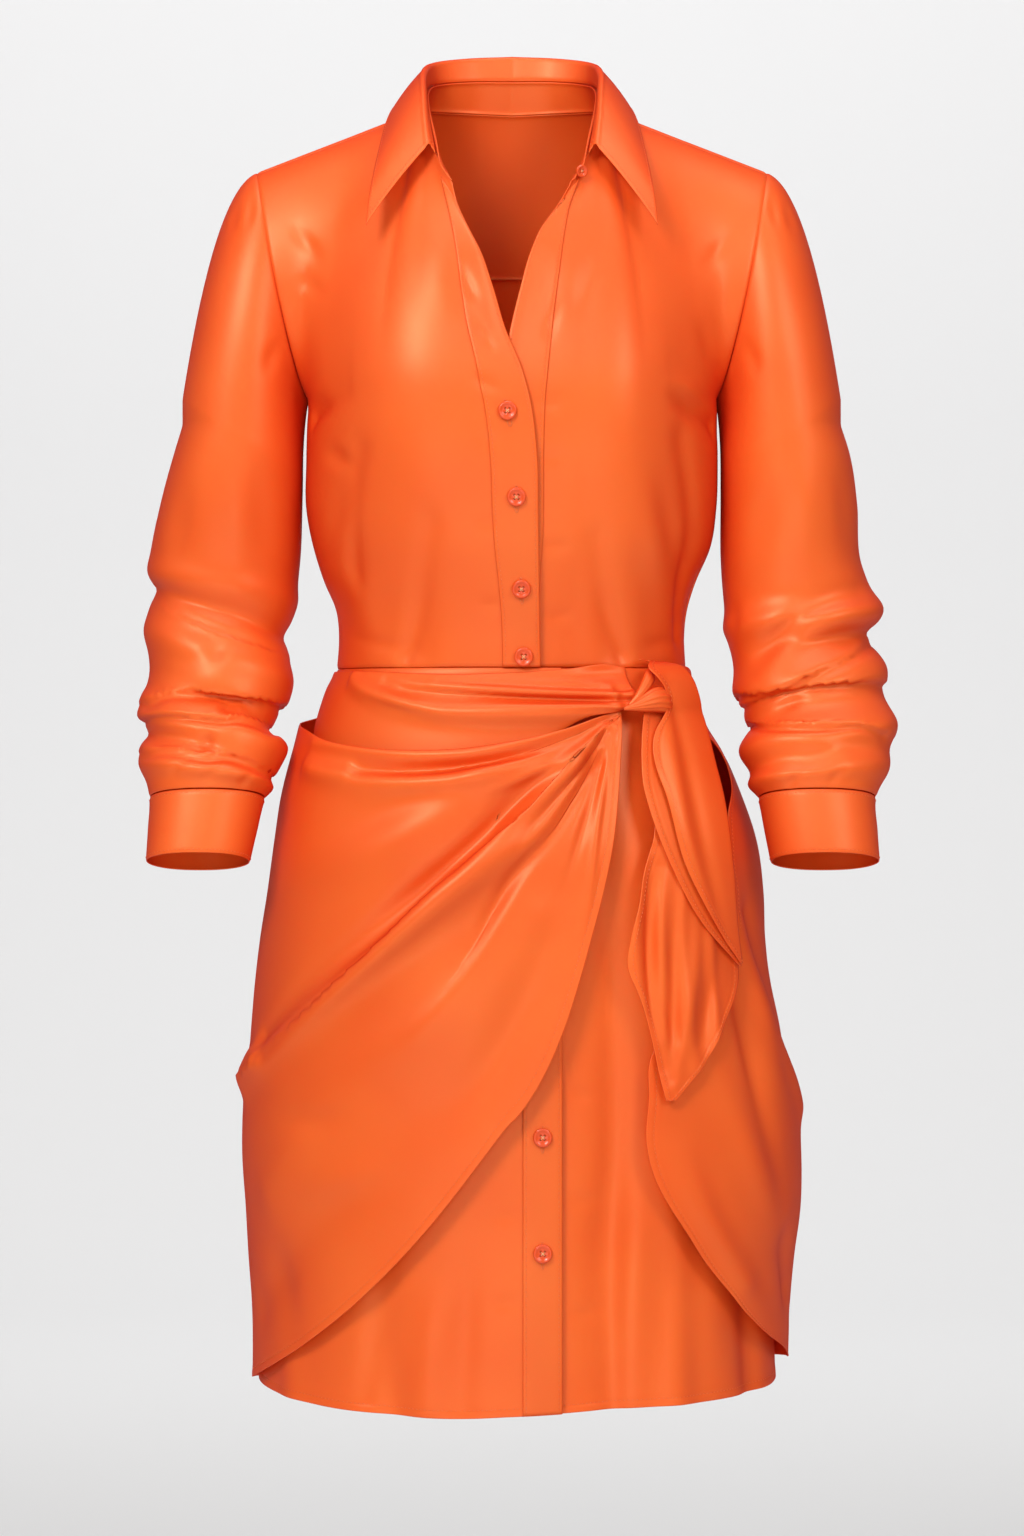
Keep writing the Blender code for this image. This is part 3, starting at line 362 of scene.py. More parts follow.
def spread_rows(length, count, start, end):
    """Distances from a strip's start, one column for each length in it."""
    head, tail = np.array(EDGE_ROWS[start]), np.array(EDGE_ROWS[end])
    room = 0.45 * length
    squeeze_head = np.minimum(1, room / max(head[-1], 1e-6))
    squeeze_tail = np.minimum(1, room / max(tail[-1], 1e-6))
    first = head[:, None] * squeeze_head
    last = length - tail[::-1, None] * squeeze_tail
    shares = np.linspace(0, 1, count + 2)[1:-1, None]
    return np.concatenate([first, first[-1:] + (last[:1] - first[-1:]) * shares, last])


def grid_of(surface, across, down, edges, step=GRID_STEP):
    """Parameters of a mesh grid over a surface, and each point's distances along it."""
    last = FINE - 1
    fine = np.linspace(0, 1, FINE)
    u_fine = across[0] + (across[1] - across[0]) * fine
    v_fine = down[0] + (down[1] - down[0]) * fine
    points = surface(*np.meshgrid(u_fine, v_fine, indexing="ij"))
    steps_u = np.cumsum(np.linalg.norm(np.diff(points, axis=0), axis=-1), axis=0)
    long_u = np.concatenate([[np.zeros(FINE)], steps_u])
    steps_v = np.cumsum(np.linalg.norm(np.diff(points, axis=1), axis=-1), axis=1).T
    long_v = np.concatenate([[np.zeros(FINE)], steps_v])
    u_count = max(3, round(long_u[-1].max() / step))
    v_count = max(3, round(long_v[-1].max() / step))
    n_u = u_count + len(EDGE_ROWS[edges["start"]]) + len(EDGE_ROWS[edges["end"]])
    n_v = v_count + len(EDGE_ROWS[edges["top"]]) + len(EDGE_ROWS[edges["bottom"]])
    at_v, at_u = np.linspace(0, last, n_v), np.linspace(0, last, n_u)
    wide = np.stack([np.interp(at_v, np.arange(FINE), long_u[i]) for i in range(FINE)])
    tall = np.stack([np.interp(at_u, np.arange(FINE), long_v[i]) for i in range(FINE)])
    from_start = spread_rows(wide[-1], u_count, edges["start"], edges["end"])
    from_top = spread_rows(tall[-1], v_count, edges["top"], edges["bottom"])
    u = np.stack([np.interp(from_start[:, j], wide[:, j], u_fine) for j in range(n_v)], axis=1)
    v = np.stack([np.interp(from_top[:, i], tall[:, i], v_fine) for i in range(n_u)])
    distances = {
        "start": from_start,
        "end": wide[-1] - from_start,
        "top": from_top.T,
        "bottom": (tall[-1] - from_top).T,
    }
    return u, v, distances


# %% [markdown]
# ## From a surface to a sheet of satin
# The sheet is a bmesh grid whose points are moved onto the surface. Its UV map is in metres of cloth, so
# that the weave keeps its size and follows the grain. A Solidify modifier gives it its thickness on the
# inner side, and the normals are turned outwards before that.

# %% Making a sheet
sheets = {}


def unit(vectors):
    return vectors / np.maximum(np.linalg.norm(vectors, axis=-1, keepdims=True), 1e-12)


def make_sheet(
    node, surface, across, down, facing, edges, thick=CLOTH_THICK, tube=False, step=GRID_STEP, name=None
):
    """A piece of cloth for a CAD node. facing is 1 or -1, whichever turns its normals outwards."""
    edges = {"start": "fold", "end": "fold", "top": "fold", "bottom": "fold", **edges}
    name = name or node
    u, v, distances = grid_of(surface, across, down, edges, step)
    points = surface(u, v)
    if tube:
        points[-1] = points[0]
    normals = unit(np.cross(np.gradient(points, axis=0), np.gradient(points, axis=1))) * facing
    if tube:
        normals[0] = normals[-1] = unit(normals[0] + normals[-1])
    relief = sum(edge_relief(edges[edge], distances[edge]) for edge in edges)
    points = points + normals * relief[..., None]
    columns, rows = u.shape
    grid = bmesh.new()
    bmesh.ops.create_grid(grid, x_segments=columns - 1, y_segments=rows - 1, size=0.5)
    mesh = bpy.data.meshes.new(f"satin_{name}")
    grid.to_mesh(mesh)
    grid.free()
    flat = np.empty(len(mesh.vertices) * 3)
    mesh.vertices.foreach_get("co", flat)
    flat = flat.reshape(-1, 3)
    i = np.rint((flat[:, 0] + 0.5) * (columns - 1)).astype(int)
    j = np.rint((flat[:, 1] + 0.5) * (rows - 1)).astype(int)
    mesh.vertices.foreach_set("co", (points[i, j] / 1000).astype(np.float32).ravel())
    corners = np.empty(len(mesh.loops), int)
    mesh.loops.foreach_get("vertex_index", corners)
    on_cloth = np.stack([distances["start"][i, j], distances["top"][i, j]], axis=-1)[corners] / 1000
    mesh.uv_layers.new(name="cloth").data.foreach_set("uv", on_cloth.astype(np.float32).ravel())
    if facing < 0:
        mesh.flip_normals()
    if tube:
        closed = bmesh.new()
        closed.from_mesh(mesh)
        bmesh.ops.remove_doubles(closed, verts=closed.verts, dist=1e-6)
        closed.to_mesh(mesh)
        closed.free()
    mesh.shade_smooth()
    piece = bpy.data.objects.new(f"satin_{name}", mesh)
    bpy.context.scene.collection.objects.link(piece)
    wall = piece.modifiers.new("wall", "SOLIDIFY")
    wall.thickness = thick / 1000
    wall.offset = -1.0
    wall.use_quality_normals = True
    mesh.materials.append(satin)
    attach(piece, "root")
    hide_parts(node)
    area = sum(face.area for face in mesh.polygons)
    sheets[name] = dict(
        piece=piece, points=points, normals=normals, distances=distances, area=area, extras=[]
    )
    print(f"{piece.name}: {columns} by {rows} points, {area:.4f} m2,", end=" ")
    print(f"{distances['start'][-1].max():.0f} by {distances['top'][:, -1].max():.0f} mm")
    return piece


# %% [markdown]
# ## Rows of stitches
# Top stitching is a row of short threads that lie on the cloth. Each is a small stretched ball, half sunk
# in the trough that the needle pulls, and the thread's own direction comes from the row.


# %% Stitches
THREAD = (1.15, 0.3, 0.26)  # half length, half width and half height of one stitch
def row_beside(node, edge, distance=HEM_DEPTH):
    """The line at a distance from an edge of a sheet: its points and normals."""
    sheet = sheets[node]
    away = sheet["distances"][edge]
    lines = []
    along_columns = edge in ("top", "bottom")
    count = away.shape[0 if along_columns else 1]
    for k in range(count):
        reach = away[k] if along_columns else away[:, k]
        points = sheet["points"][k] if along_columns else sheet["points"][:, k]
        normals = sheet["normals"][k] if along_columns else sheet["normals"][:, k]
        order = np.argsort(reach)
        at = [np.interp(distance, reach[order], points[order, axis]) for axis in range(3)]
        out = [np.interp(distance, reach[order], normals[order, axis]) for axis in range(3)]
        lines.append((at, out))
    return np.array([line[0] for line in lines]), np.array([line[1] for line in lines])


def sew(name, lines, on, pitch=STITCH_PITCH):
    """One mesh of threads along all the lines."""
    threads = bmesh.new()
    count = 0
    for points, normals in lines:
        lengths = np.concatenate([[0], np.cumsum(np.linalg.norm(np.diff(points, axis=0), axis=1))])
        for place in np.arange(pitch, lengths[-1] - pitch / 2, pitch):
            middle = np.array([np.interp(place, lengths, points[:, k]) for k in range(3)])
            ahead = np.array([np.interp(place + 0.6, lengths, points[:, k]) for k in range(3)])
            outward = unit(np.array([np.interp(place, lengths, normals[:, k]) for k in range(3)]))
            along = unit(ahead - middle)
            beside = unit(np.cross(outward, along))
            outward = np.cross(along, beside)
            sized = [along * THREAD[0], beside * THREAD[1], outward * THREAD[2]]
            turned = Matrix(np.stack(sized, axis=1).tolist()).to_4x4()
            place_at = Matrix.Translation((middle + outward * 0.08).tolist())
            shrunk = Matrix.Scale(0.001, 4)
            bmesh.ops.create_uvsphere(
                threads, u_segments=5, v_segments=3, radius=1.0, matrix=shrunk @ place_at @ turned
            )
            count += 1
    bmesh.ops.recalc_face_normals(threads, faces=threads.faces)
    mesh = bpy.data.meshes.new(name)
    threads.to_mesh(mesh)
    threads.free()
    mesh.shade_smooth()
    mesh.materials.append(thread)
    piece = bpy.data.objects.new(name, mesh)
    bpy.context.scene.collection.objects.link(piece)
    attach(piece, "root")
    sheets[on]["extras"].append(piece)
    print(f"{name}: {count} stitches")
    return piece


# %% [markdown]
# ## Satin
# Satin's threads float over each other, so it shines along them, and its highlight takes the dye's
# colour. The colour comes from two close oranges mixed by a slow noise. Where the cloth turns away from
# the view it is mixed towards a deep red, which is painted shade on the sides of folds, sleeves and body.
# The weave is a very fine band pattern on the cloth's own UV map, and a slow noise in the bump keeps broad
# highlights from looking like plastic.


# %% Satin
def new_material(name):
    material = bpy.data.materials.new(name)
    material.use_nodes = True
    return material, material.node_tree.nodes, material.node_tree.links


def add(nodes, kind, **settings):
    node = nodes.new(f"ShaderNode{kind}")
    for key, value in settings.items():
        if hasattr(node, key):
            setattr(node, key, value)
        else:
            node.inputs[key.replace("_", " ")].default_value = value
    return node


def satin_material(name, deep, bright, rough_low, rough_high, weave=0.12):
    material, nodes, links = new_material(name)
    shader = nodes["Principled BSDF"]
    shader.inputs["Specular Tint"].default_value = (1.0, 0.62, 0.36, 1.0)
    shader.inputs["Anisotropic"].default_value = 0.35
    shader.inputs["Sheen Weight"].default_value = 0.04
    shader.inputs["Sheen Roughness"].default_value = 0.35
    shader.inputs["Sheen Tint"].default_value = (1.0, 0.45, 0.2, 1.0)
    place = add(nodes, "TexCoord")
    slow = add(nodes, "TexNoise", Scale=7.0, Detail=2.0)
    links.new(place.outputs["Object"], slow.inputs["Vector"])
    tone = add(nodes, "ValToRGB")
    tone.color_ramp.elements[0].position = 0.35
    tone.color_ramp.elements[0].color = (*deep, 1.0)
    tone.color_ramp.elements[1].position = 0.65
    tone.color_ramp.elements[1].color = (*bright, 1.0)
    links.new(slow.outputs["Fac"], tone.inputs["Fac"])
    turned = add(nodes, "LayerWeight", Blend=0.45)
    # Painted shade: the facing factor mixes the base colour towards a darker red where the surface turns away
    # from the view, in place of the shade on the sides of folds.
    painted_side_shade = add(nodes, "Mix", data_type="RGBA")
    links.new(turned.outputs["Facing"], painted_side_shade.inputs["Factor"])
    links.new(tone.outputs["Color"], painted_side_shade.inputs["A"])
    painted_side_shade.inputs["B"].default_value = (0.62 * deep[0], 0.12 * deep[1], 0.1 * deep[2], 1.0)
    links.new(painted_side_shade.outputs["Result"], shader.inputs["Base Color"])
    shader.inputs["Subsurface Weight"].default_value = 0.3
    shader.inputs["Subsurface Radius"].default_value = (1.0, 0.2, 0.06)
    shader.inputs["Subsurface Scale"].default_value = 0.0025
    grain = add(nodes, "Mapping")
    grain.inputs["Scale"].default_value = (260.0, 2600.0, 1.0)
    links.new(place.outputs["UV"], grain.inputs["Vector"])
    slub = add(nodes, "TexNoise", Scale=1.0, Detail=3.0)
    links.new(grain.outputs["Vector"], slub.inputs["Vector"])
    rough = add(nodes, "MapRange")
    rough.inputs["To Min"].default_value = rough_low
    rough.inputs["To Max"].default_value = rough_high
    links.new(slub.outputs["Fac"], rough.inputs["Value"])
    duller = add(nodes, "Math", operation="MULTIPLY_ADD")
    duller.inputs[1].default_value = 0.3
    links.new(turned.outputs["Facing"], duller.inputs[0])
    links.new(rough.outputs["Result"], duller.inputs[2])
    links.new(duller.outputs["Value"], shader.inputs["Roughness"])
    shine = add(nodes, "MapRange")
    shine.inputs["To Min"].default_value = 0.95
    shine.inputs["To Max"].default_value = 0.03
    links.new(turned.outputs["Facing"], shine.inputs["Value"])
    links.new(shine.outputs["Result"], shader.inputs["Specular IOR Level"])
    bands = add(nodes, "TexWave", bands_direction="DIAGONAL", Scale=560.0)
    links.new(place.outputs["UV"], bands.inputs["Vector"])
    fine = add(nodes, "Bump", Strength=weave, Distance=0.00006)
    links.new(bands.outputs["Fac"], fine.inputs["Height"])
    streak = add(nodes, "Bump", Strength=weave, Distance=0.0001)
    links.new(slub.outputs["Fac"], streak.inputs["Height"])
    links.new(fine.outputs["Normal"], streak.inputs["Normal"])
    wavy = add(nodes, "TexNoise", Scale=26.0, Detail=1.0)
    links.new(place.outputs["Object"], wavy.inputs["Vector"])
    soft = add(nodes, "Bump", Strength=0.25, Distance=0.0012)
    links.new(wavy.outputs["Fac"], soft.inputs["Height"])
    links.new(streak.outputs["Normal"], soft.inputs["Normal"])
    links.new(soft.outputs["Normal"], shader.inputs["Normal"])
    return material


satin = satin_material("orange_satin_cloth", (0.9, 0.108, 0.012), (0.97, 0.14, 0.018), 0.34, 0.44)
thread = satin_material("orange_thread", (0.95, 0.17, 0.045), (1.0, 0.22, 0.07), 0.5, 0.6, weave=0.5)
pale_thread = satin_material("pale_thread", (0.95, 0.38, 0.17), (1.0, 0.44, 0.22), 0.5, 0.6, weave=0.5)
print("materials:", satin.name, thread.name, pale_thread.name)

# %% [markdown]
# ## The bodice
# Two fronts close over each other at the buttons and lie open above them, and a back reaches up to a
# yoke. Each front is a sheet from the waist to the shoulder line. Its columns follow the body up to the
# underarm and climb from there along their own curves into the neckline and the shoulder seam, which is
# how a flat front comes to fit.

# %% Bodice forms
# The left half, from the front end of the neckline (0) over the neck point (0.5) to the centre back (1):
# the neckline, the top of the collar stand, the fold of the collar and its outer edge.
COLLAR = Table(
    "way neck_x neck_y neck_z stand_x stand_y stand_z roll_x roll_y roll_z edge_x edge_y edge_z",
    [
        (0.00, 43, -72, -57, 52, -67, -43, 55, -67, -37, 103, -90, -88),
        (0.17, 53, -57, -37, 56, -49, -19, 59, -48, -11, 100, -71, -58),
        (0.33, 62, -34, -15, 60, -25, 3, 61, -23, 15, 95, -39, -28),
        (0.50, 67, -6, 1, 60, 2, 18, 61, 4, 32, 89, 6, 0),
        (0.67, 59, 37, 6, 52, 37, 26, 54, 38, 42, 80, 50, 6),
        (0.83, 33, 56, 7, 30, 52, 29.5, 32, 54, 47, 47, 77, 9),
        (1.00, 0, 61, 6, 0, 56, 30, 0, 58, 49, 0, 84, 9),
    ],
)


def collar_point(line, way):
    return COLLAR.points(f"{line}_x {line}_y {line}_z", way)


def shoulder_line(share):
    """The sewn shoulder line from the neck point (0) to the tip (1)."""
    start = collar_point("neck", 0.5)
    return start + (np.array(SHOULDER_TIP) - start) * np.asarray(share)[..., None]


def top_edge(share, front):
    """Where a panel's column ends: in the neckline, then in the shoulder line."""
    way = np.clip(share / NECK_SHARE, 0, 1) * 0.5
    neck = collar_point("neck", way if front else 1 - way)
    shoulder = shoulder_line((share - NECK_SHARE) / (1 - NECK_SHARE))
    return np.where((share <= NECK_SHARE)[..., None], neck, shoulder)


# How a column of cloth rises from the underarm level to the top: the two inner points of its curve, given
# from its foot (low) and from its top (high). out is away from the middle of the body.
RISE = "share low_out low_y low_z high_out high_y high_z"
FRONT_RISE = Table(
    RISE,
    [
        (0.00, 6, 3, 50, -10, -16, -40),
        (0.14, 5, 3, 58, -6, -22, -40),
        (0.28, 4, 3, 64, -3, -30, -34),
        (0.42, 3, 2, 66, 0, -38, -17),
        (0.70, 5, -3, 64, -1, -38, -17),
        (0.86, 6, -26, 48, -2, -40, -17),
        (1.00, 13, -60, 20, -3, -46, -19),
    ],
)
BACK_RISE = Table(
    RISE,
    [
        (0.00, 0, 3, 70, 0, 14, -36),
        (0.14, 0, 3, 70, 0, 18, -30),
        (0.28, 0, 3, 70, 1, 28, -12),
        (0.42, 1, 2, 70, 0, 42, 14),
        (0.70, 3, 0, 68, 0, 44, 17),
        (0.86, 5, 26, 50, -1, 44, 17),
        (1.00, 13, 62, 22, -2, 44, 17),
    ],
)
# Inner edges of the two fronts: closed below the bust, folded open above it.
OPEN_EDGE = Table(
    "height right_front left_front",
    [
        (-56, -43, 43),
        (-74, -38, 32),
        (-90, -30.5, 20.5),
        (-106, -22.5, 13.5),
        (-134, -13, 5.5),
        (-163, -4.5, -1.5),
        (-190, 6.5, -6),
        (-212, 12.5, -8),
        (-250, 17.5, -9),
        (-300, 18.5, -8),
        (-400, 20, -5),
        (-420, 20.5, -4),
    ],
)
BACK_SEAM = -110.0  # height of the yoke's back seam
FRONT_LENGTH = 180.0  # from the underarm level to the shoulder line, in front and behind
BACK_LENGTH = 200.0
TOP_CLIMB = 1 - SEAM / 2 / FRONT_LENGTH  # panels end here, half a seam short of the top
HALF_SEAM = SEAM / 2 / BACK_LENGTH


def climbed(foot, top, handles, share, side, climb):
    """The curve of a column of cloth above the underarm, climb 0 at its foot and 1 at its top."""
    mirror = np.array([side, 1.0, 1.0])
    low = handles.points("low_out low_y low_z", share) * mirror
    high = handles.points("high_out high_y high_z", share) * mirror
    t = np.asarray(climb)[..., None]
    a, b, c, d = foot, foot + low, top * mirror + high, top * mirror
    return (1 - t) ** 3 * a + 3 * t * (1 - t) ** 2 * b + 3 * t * t * (1 - t) * c + t**3 * d


def height_of(climb):
    return UNDERARM + (UNDERARM - WAIST - SEAM / 2) * np.minimum(climb, 0)


BODICE_FOLDS = {
    -1: [
        (-74, -222, -62, -214, -50, -206, -4.0, -1.0, 7),
        (-44, -250, -47, -290, -52, -330, -2.0, -3.0, 12),
        (-20, -300, -26, -345, -34, -392, -1.5, -3.0, 10),
    ],
    1: [
        (76, -226, 62, -216, 48, -204, -3.5, -1.0, 7),
        (52, -240, 60, -300, 72, -370, -2.5, -4.0, 13),
        (22, -310, 28, -350, 36, -390, -1.5, -3.5, 10),
    ],
}


def near_middle(turn):
    """1 where the left front lies behind the right one, 0 further out."""
    return 1 - smoothstep((np.abs(turn) - 16) / 18)


def bodice_front(side):
    """A front, side -1 for the right one and 1 for the left, which lies behind the other at the buttons.

    share is 0 at its inner edge and 1 at its side. climb is -1 at the waist, 0 at the underarm, 1 at the top.
    """
    edge_name = "right_front" if side < 0 else "left_front"

    def surface(share, climb):
        height = height_of(climb)
        start = turn_at(BODICE, OPEN_EDGE.at(edge_name, height), height)
        turn = start + (side * SIDE_TURN - start) * share
        low = ring(BODICE, turn, height, bust=1.0)
        up = np.clip(climb, 0, 1)
        high = climbed(low, top_edge(share, True), FRONT_RISE, share, side, up)
        edge_low = ring(BODICE, start, height, bust=1.0)
        edge = climbed(edge_low, top_edge(0 * share, True), FRONT_RISE, 0 * share, side, up)
        pull = OPEN_EDGE.at(edge_name, edge[..., 2]) - edge[..., 0]
        high[..., 0] += pull * np.clip(1 - share / NECK_SHARE, 0, 1) ** 2
        point = np.where((climb > 0)[..., None], high, low)
        inward = -folds(BODICE_FOLDS[side], turn, height) * np.clip(1 - up * 4, 0, 1)
        if side > 0:
            inward = inward + OVERLAP * near_middle(turn) * (1 - smoothstep((climb - 0.3) / 0.4))
        point[..., 1] += inward * np.cos(np.radians(turn))
        point[..., 0] -= inward * np.sin(np.radians(turn))
        return point

    return surface


def bodice_back(share, climb):
    """The whole back. share runs from -1 at the right side over 0 at the centre back to 1 at the left."""
    side = np.where(share < 0, -1.0, 1.0)
    away = np.abs(share)
    height = height_of(climb)
    low = ring(BODICE, 180 - away * SIDE_TURN, height)
    high = climbed(low, top_edge(away, False), BACK_RISE, away, 1.0, np.clip(climb, 0, 1))
    point = np.where((climb > 0)[..., None], high, low)
    point[..., 0] *= side
    return point


def back_seam(share):
    """Climb of the seam between back and yoke, found by halving."""
    low, high = 0.0 * share, 0.0 * share + 0.8
    for _ in range(24):
        middle = (low + high) / 2
        above = bodice_back(share, middle)[..., 2] > BACK_SEAM
        low, high = np.where(above, low, middle), np.where(above, middle, high)
    return low


def below_yoke(share, part):
    """The back piece: part is -1 at the waist, 0 at the underarm and 1 at the yoke seam."""
    return bodice_back(share, np.where(part > 0, part * (back_seam(share) - HALF_SEAM), part))


def yoke(share, part):
    """The yoke: part is 0 at its back seam and 1 at the shoulder line."""
    start = back_seam(share) + HALF_SEAM
    return bodice_back(share, start + (TOP_CLIMB - start) * part)


# Share of a front's width that its button band takes: -1 at the waist, 0 at the underarm, 1 at the neck.
PLACKET = Table("climb share", [(-1, 0.092), (-0.5, 0.095), (0, 0.1), (1, 0.13)])


def placket(side):
    """The button band on a front: across is 0 at the front's inner edge and 1 at the band's outer seam."""
    on_front = lifted(bodice_front(side), LAID + BAND_WALL, side)

    def surface(across, climb):
        return on_front(across * PLACKET.at("share", climb), climb)

    return surface


# %% [markdown]
# ## Creases of the bodice
# The cloth pulls from the bust to the side and puckers a little where the button band is sewn on. The
# back, which the picture doesn't show, gets a few soft folds of the same kind above the waist.

# %% Bodice sheets
BODICE_CREASES = {
    -1: [
    (0, -2.6, -0.78, 6, 6, 0, (-136.2, -241.5), (-125.1, -249.9), (-112.6, -258.2)),
    (-0.65, -2.08, -0.52, 9, 9, 0, (-116.8, -258.2), (-121.6, -284.6), (-127.9, -318)),
    (0.78, 1.82, 0.39, 9, 9, 0, (-107, -262.4), (-111.2, -288.1), (-116.8, -323.6)),
    (0, -1.69, 0, 5, 5, 0, (-158.5, -79.6), (-147.3, -95.6), (-132, -115.1)),
    (0, -1.3, 0, 5, 5, 0, (-154.3, -119.2), (-143.2, -128.3), (-129.3, -134.5)),
    (0, -2.08, 0, 7, 7, 0, (-150.1, -209.6), (-139, -213.8), (-123.7, -212.4)),
    (0, 1.69, 0, 16, 16, 0, (-55.6, -65.7), (-52.8, -103.9), (-41.7, -163)),
    (0, -1.56, 0, 9, 9, 0, (-41.7, -98.4), (-37.5, -131.7), (-29.2, -166.5)),
    (-0.26, -1.17, 0, 3.5, 3.5, 0, (-34.8, -119.2), (-29.2, -135.2), (-22.2, -145.6)),
    (-0.26, -1.04, 0, 3.5, 3.5, 0, (-23.6, -158.1), (-16.7, -172.1), (-10.4, -181.8)),
    (0, -1.04, -0.26, 4, 4, 0, (-29.2, -195.7), (-18.1, -202.6), (-7.6, -205.4)),
    (0, -0.91, -0.26, 4, 4, 0, (-26.4, -240.2), (-16.7, -242.9), (-7.6, -241.5)),
    (0, -0.91, -0.26, 4, 4, 0, (-29.2, -298.5), (-18.1, -299.9), (-7.6, -295.8)),
    (0, -1.04, -0.26, 4, 4, 0, (-26.4, -358.3), (-16.7, -356.9), (-6.9, -352.8)),
    (0, -2.08, -0.52, 8, 8, 0, (-129.3, -326.3), (-124.4, -354.1), (-115.4, -387.5)),
    (0, 1.56, 0.78, 9, 9, 0, (-108.4, -323.6), (-104.2, -354.1), (-97.3, -387.5)),
    (0, -1.04, -1.56, 9, 9, 0, (-57, -326.3), (-61.2, -361.1), (-63.9, -392.4)),
    (0, -1.56, -0.52, 5, 5, 0, (-122.3, -373.6), (-97.3, -383.3), (-69.5, -386.1)),
    ],
    1: [
    (0, -2.47, -0.91, 9, 9, 0, (99.4, -247.1), (108.4, -284.6), (118.1, -326.3), (123.7, -362.5)),
    (0, 1.95, 0.52, 10, 10, 0, (86.2, -251.3), (95.9, -288.8), (105.6, -330.5), (111.2, -362.5)),
    (0, -3.12, -1.04, 6, 7, 0, (108.4, -204), (123.7, -216.5), (140.4, -231.8)),
    (0, 2.08, 0.65, 7, 7, 0, (105.6, -192.9), (123.7, -202.6), (141.8, -213.8)),
    (0, -1.56, 0, 6, 6, 0, (130.7, -145.6), (139, -166.5), (141.8, -191.5)),
    (0, -1.3, 0, 5, 5, 0, (133.4, -119.2), (145.9, -103.9), (159.8, -84.5)),
    (0, 1.56, 0, 15, 15, 0, (50.7, -86.6), (44.5, -117.8), (33.4, -166.5)),
    (0, -1.3, 0, 8, 8, 0, (61.2, -98.4), (54.2, -131.7), (41.7, -166.5)),
    (-0.26, -1.04, 0, 3.5, 3.5, 0, (33.4, -145.6), (27.8, -159.5), (23.6, -176.9)),
    (-0.26, -0.91, 0, 4, 4, 0, (16.7, -213.8), (27.8, -216.5), (38.9, -212.4)),
    (-0.26, -0.91, 0, 4, 4, 0, (16.7, -251.3), (27.8, -254.1), (40.3, -251.3)),
    (-0.26, -1.04, 0, 4, 4, 0, (18.1, -312.4), (29.2, -316.6), (43.1, -313.8)),
    (-0.26, -1.04, 0, 4, 4, 0, (20.8, -362.5), (32, -365.3), (45.9, -361.1)),
    (0, -1.82, -0.52, 8, 8, 0, (136.2, -274.9), (132, -312.4), (123.7, -362.5)),
    (0, -1.17, -1.69, 8, 8, 0, (61.2, -333.3), (65.3, -368), (68.1, -392.4)),
    (0, 1.3, 0.52, 9, 9, 0, (80.6, -326.3), (86.2, -361.1), (89, -392.4)),
    (0, -1.43, -0.39, 5, 5, 0, (82, -386.1), (105.6, -383.3), (123.7, -375)),
    ],
}
BACK_CREASES = [
    (0, -2.2, -0.8, 12, 12, 0, (-52, -262), (-58, -330), (-64, -398)),
    (0, 1.8, 0.8, 12, 12, 0, (-24, -280), (-26, -340), (-30, -398)),
    (0, -2.0, -1.0, 13, 13, 0, (48, -270), (56, -330), (60, -398)),
    (0, 1.8, 0.6, 13, 13, 0, (84, -286), (88, -340), (92, -398)),
    (0, -1.6, 0, 8, 8, 0, (-136, -236), (-110, -226), (-84, -222)),
    (0, -1.5, 0, 8, 8, 0, (82, -226), (108, -232), (134, -244)),
    (0, -1.5, 0, 7, 7, 0, (-112, -366), (-60, -378), (-8, -376)),
    (0, 1.3, 0, 8, 8, 0, (6, -362), (54, -368), (104, -356)),
    (0, -1.2, 0, 10, 10, 0, (-90, -130), (-60, -160), (-52, -200)),
    (0, -1.2, 0, 10, 10, 0, (64, -134), (70, -164), (62, -204)),
]
PANEL_EDGES = dict(start="fold", end="seam", top="seam", bottom="seam")
for side, name in ((-1, "right"), (1, "left")):
    front = wrinkled(bodice_front(side), BODICE_CREASES[side], side)
    make_sheet(f"bodice_front_{name}", front, (0, 1), (-1, TOP_CLIMB), side, PANEL_EDGES, step=3.6)
BAND_EDGES = dict(start="fold", end="fold", top="join", bottom="join")
for side, layer in ((-1, "outer"), (1, "under")):
    front = wrinkled(placket(side), BODICE_CREASES[side], side)
    make_sheet(f"placket_{layer}", front, (0, 1), (-1, 0.9), side, BAND_EDGES, BAND_THICK)
SEAMS = dict(start="seam", end="seam", top="seam", bottom="seam")
YOKE_LAP = -0.012  # the yoke starts this share lower, so that no light shows through its seam
back = wrinkled(below_yoke, BACK_CREASES, -1)
make_sheet("bodice_back", back, (-1, 1), (-1, 1), -1, SEAMS, step=PLAIN_STEP)
back = wrinkled(yoke, BACK_CREASES, -1)
make_sheet("back_yoke", back, (-1, 1), (YOKE_LAP, 1), -1, SEAMS, step=PLAIN_STEP)

# %% [markdown]
# ## The collar
# A stand is sewn into the neckline and carries the collar, which rises from it, folds over and falls to two
# points. Both follow the neckline round the neck, so each is a sheet between two lines of one table.

# %% Collar forms
LEAF_FOLD = 2.6  # radius of the fold at the top of the collar
STAND_END_GAP = 0.7  # how much further the stand's front ends stay off the neckline
FALL_END = 0.94  # the collar starts this share of the way along the stand, short of its button
LEAF_BELLY = 1.5  # how far the leaf bows off the straight line from fold to edge


def mirrored(points, way):
    points[..., 0] *= np.sign(way) + (way == 0)
    return points


def collar_stand(way, up):
    """way runs from -1 at the right front end over 0 at the centre back to 1, and up from the neckline."""
    low, high = (collar_point(line, 1 - np.abs(way)) for line in ("neck", "stand"))
    height = np.linalg.norm(high - low, axis=-1)
    gap = SEAM + STAND_END_GAP * np.abs(way) ** 4
    share = (gap + (height - gap - SEAM / 2) * up) / height
    return mirrored(low + (high - low) * share[..., None], way)


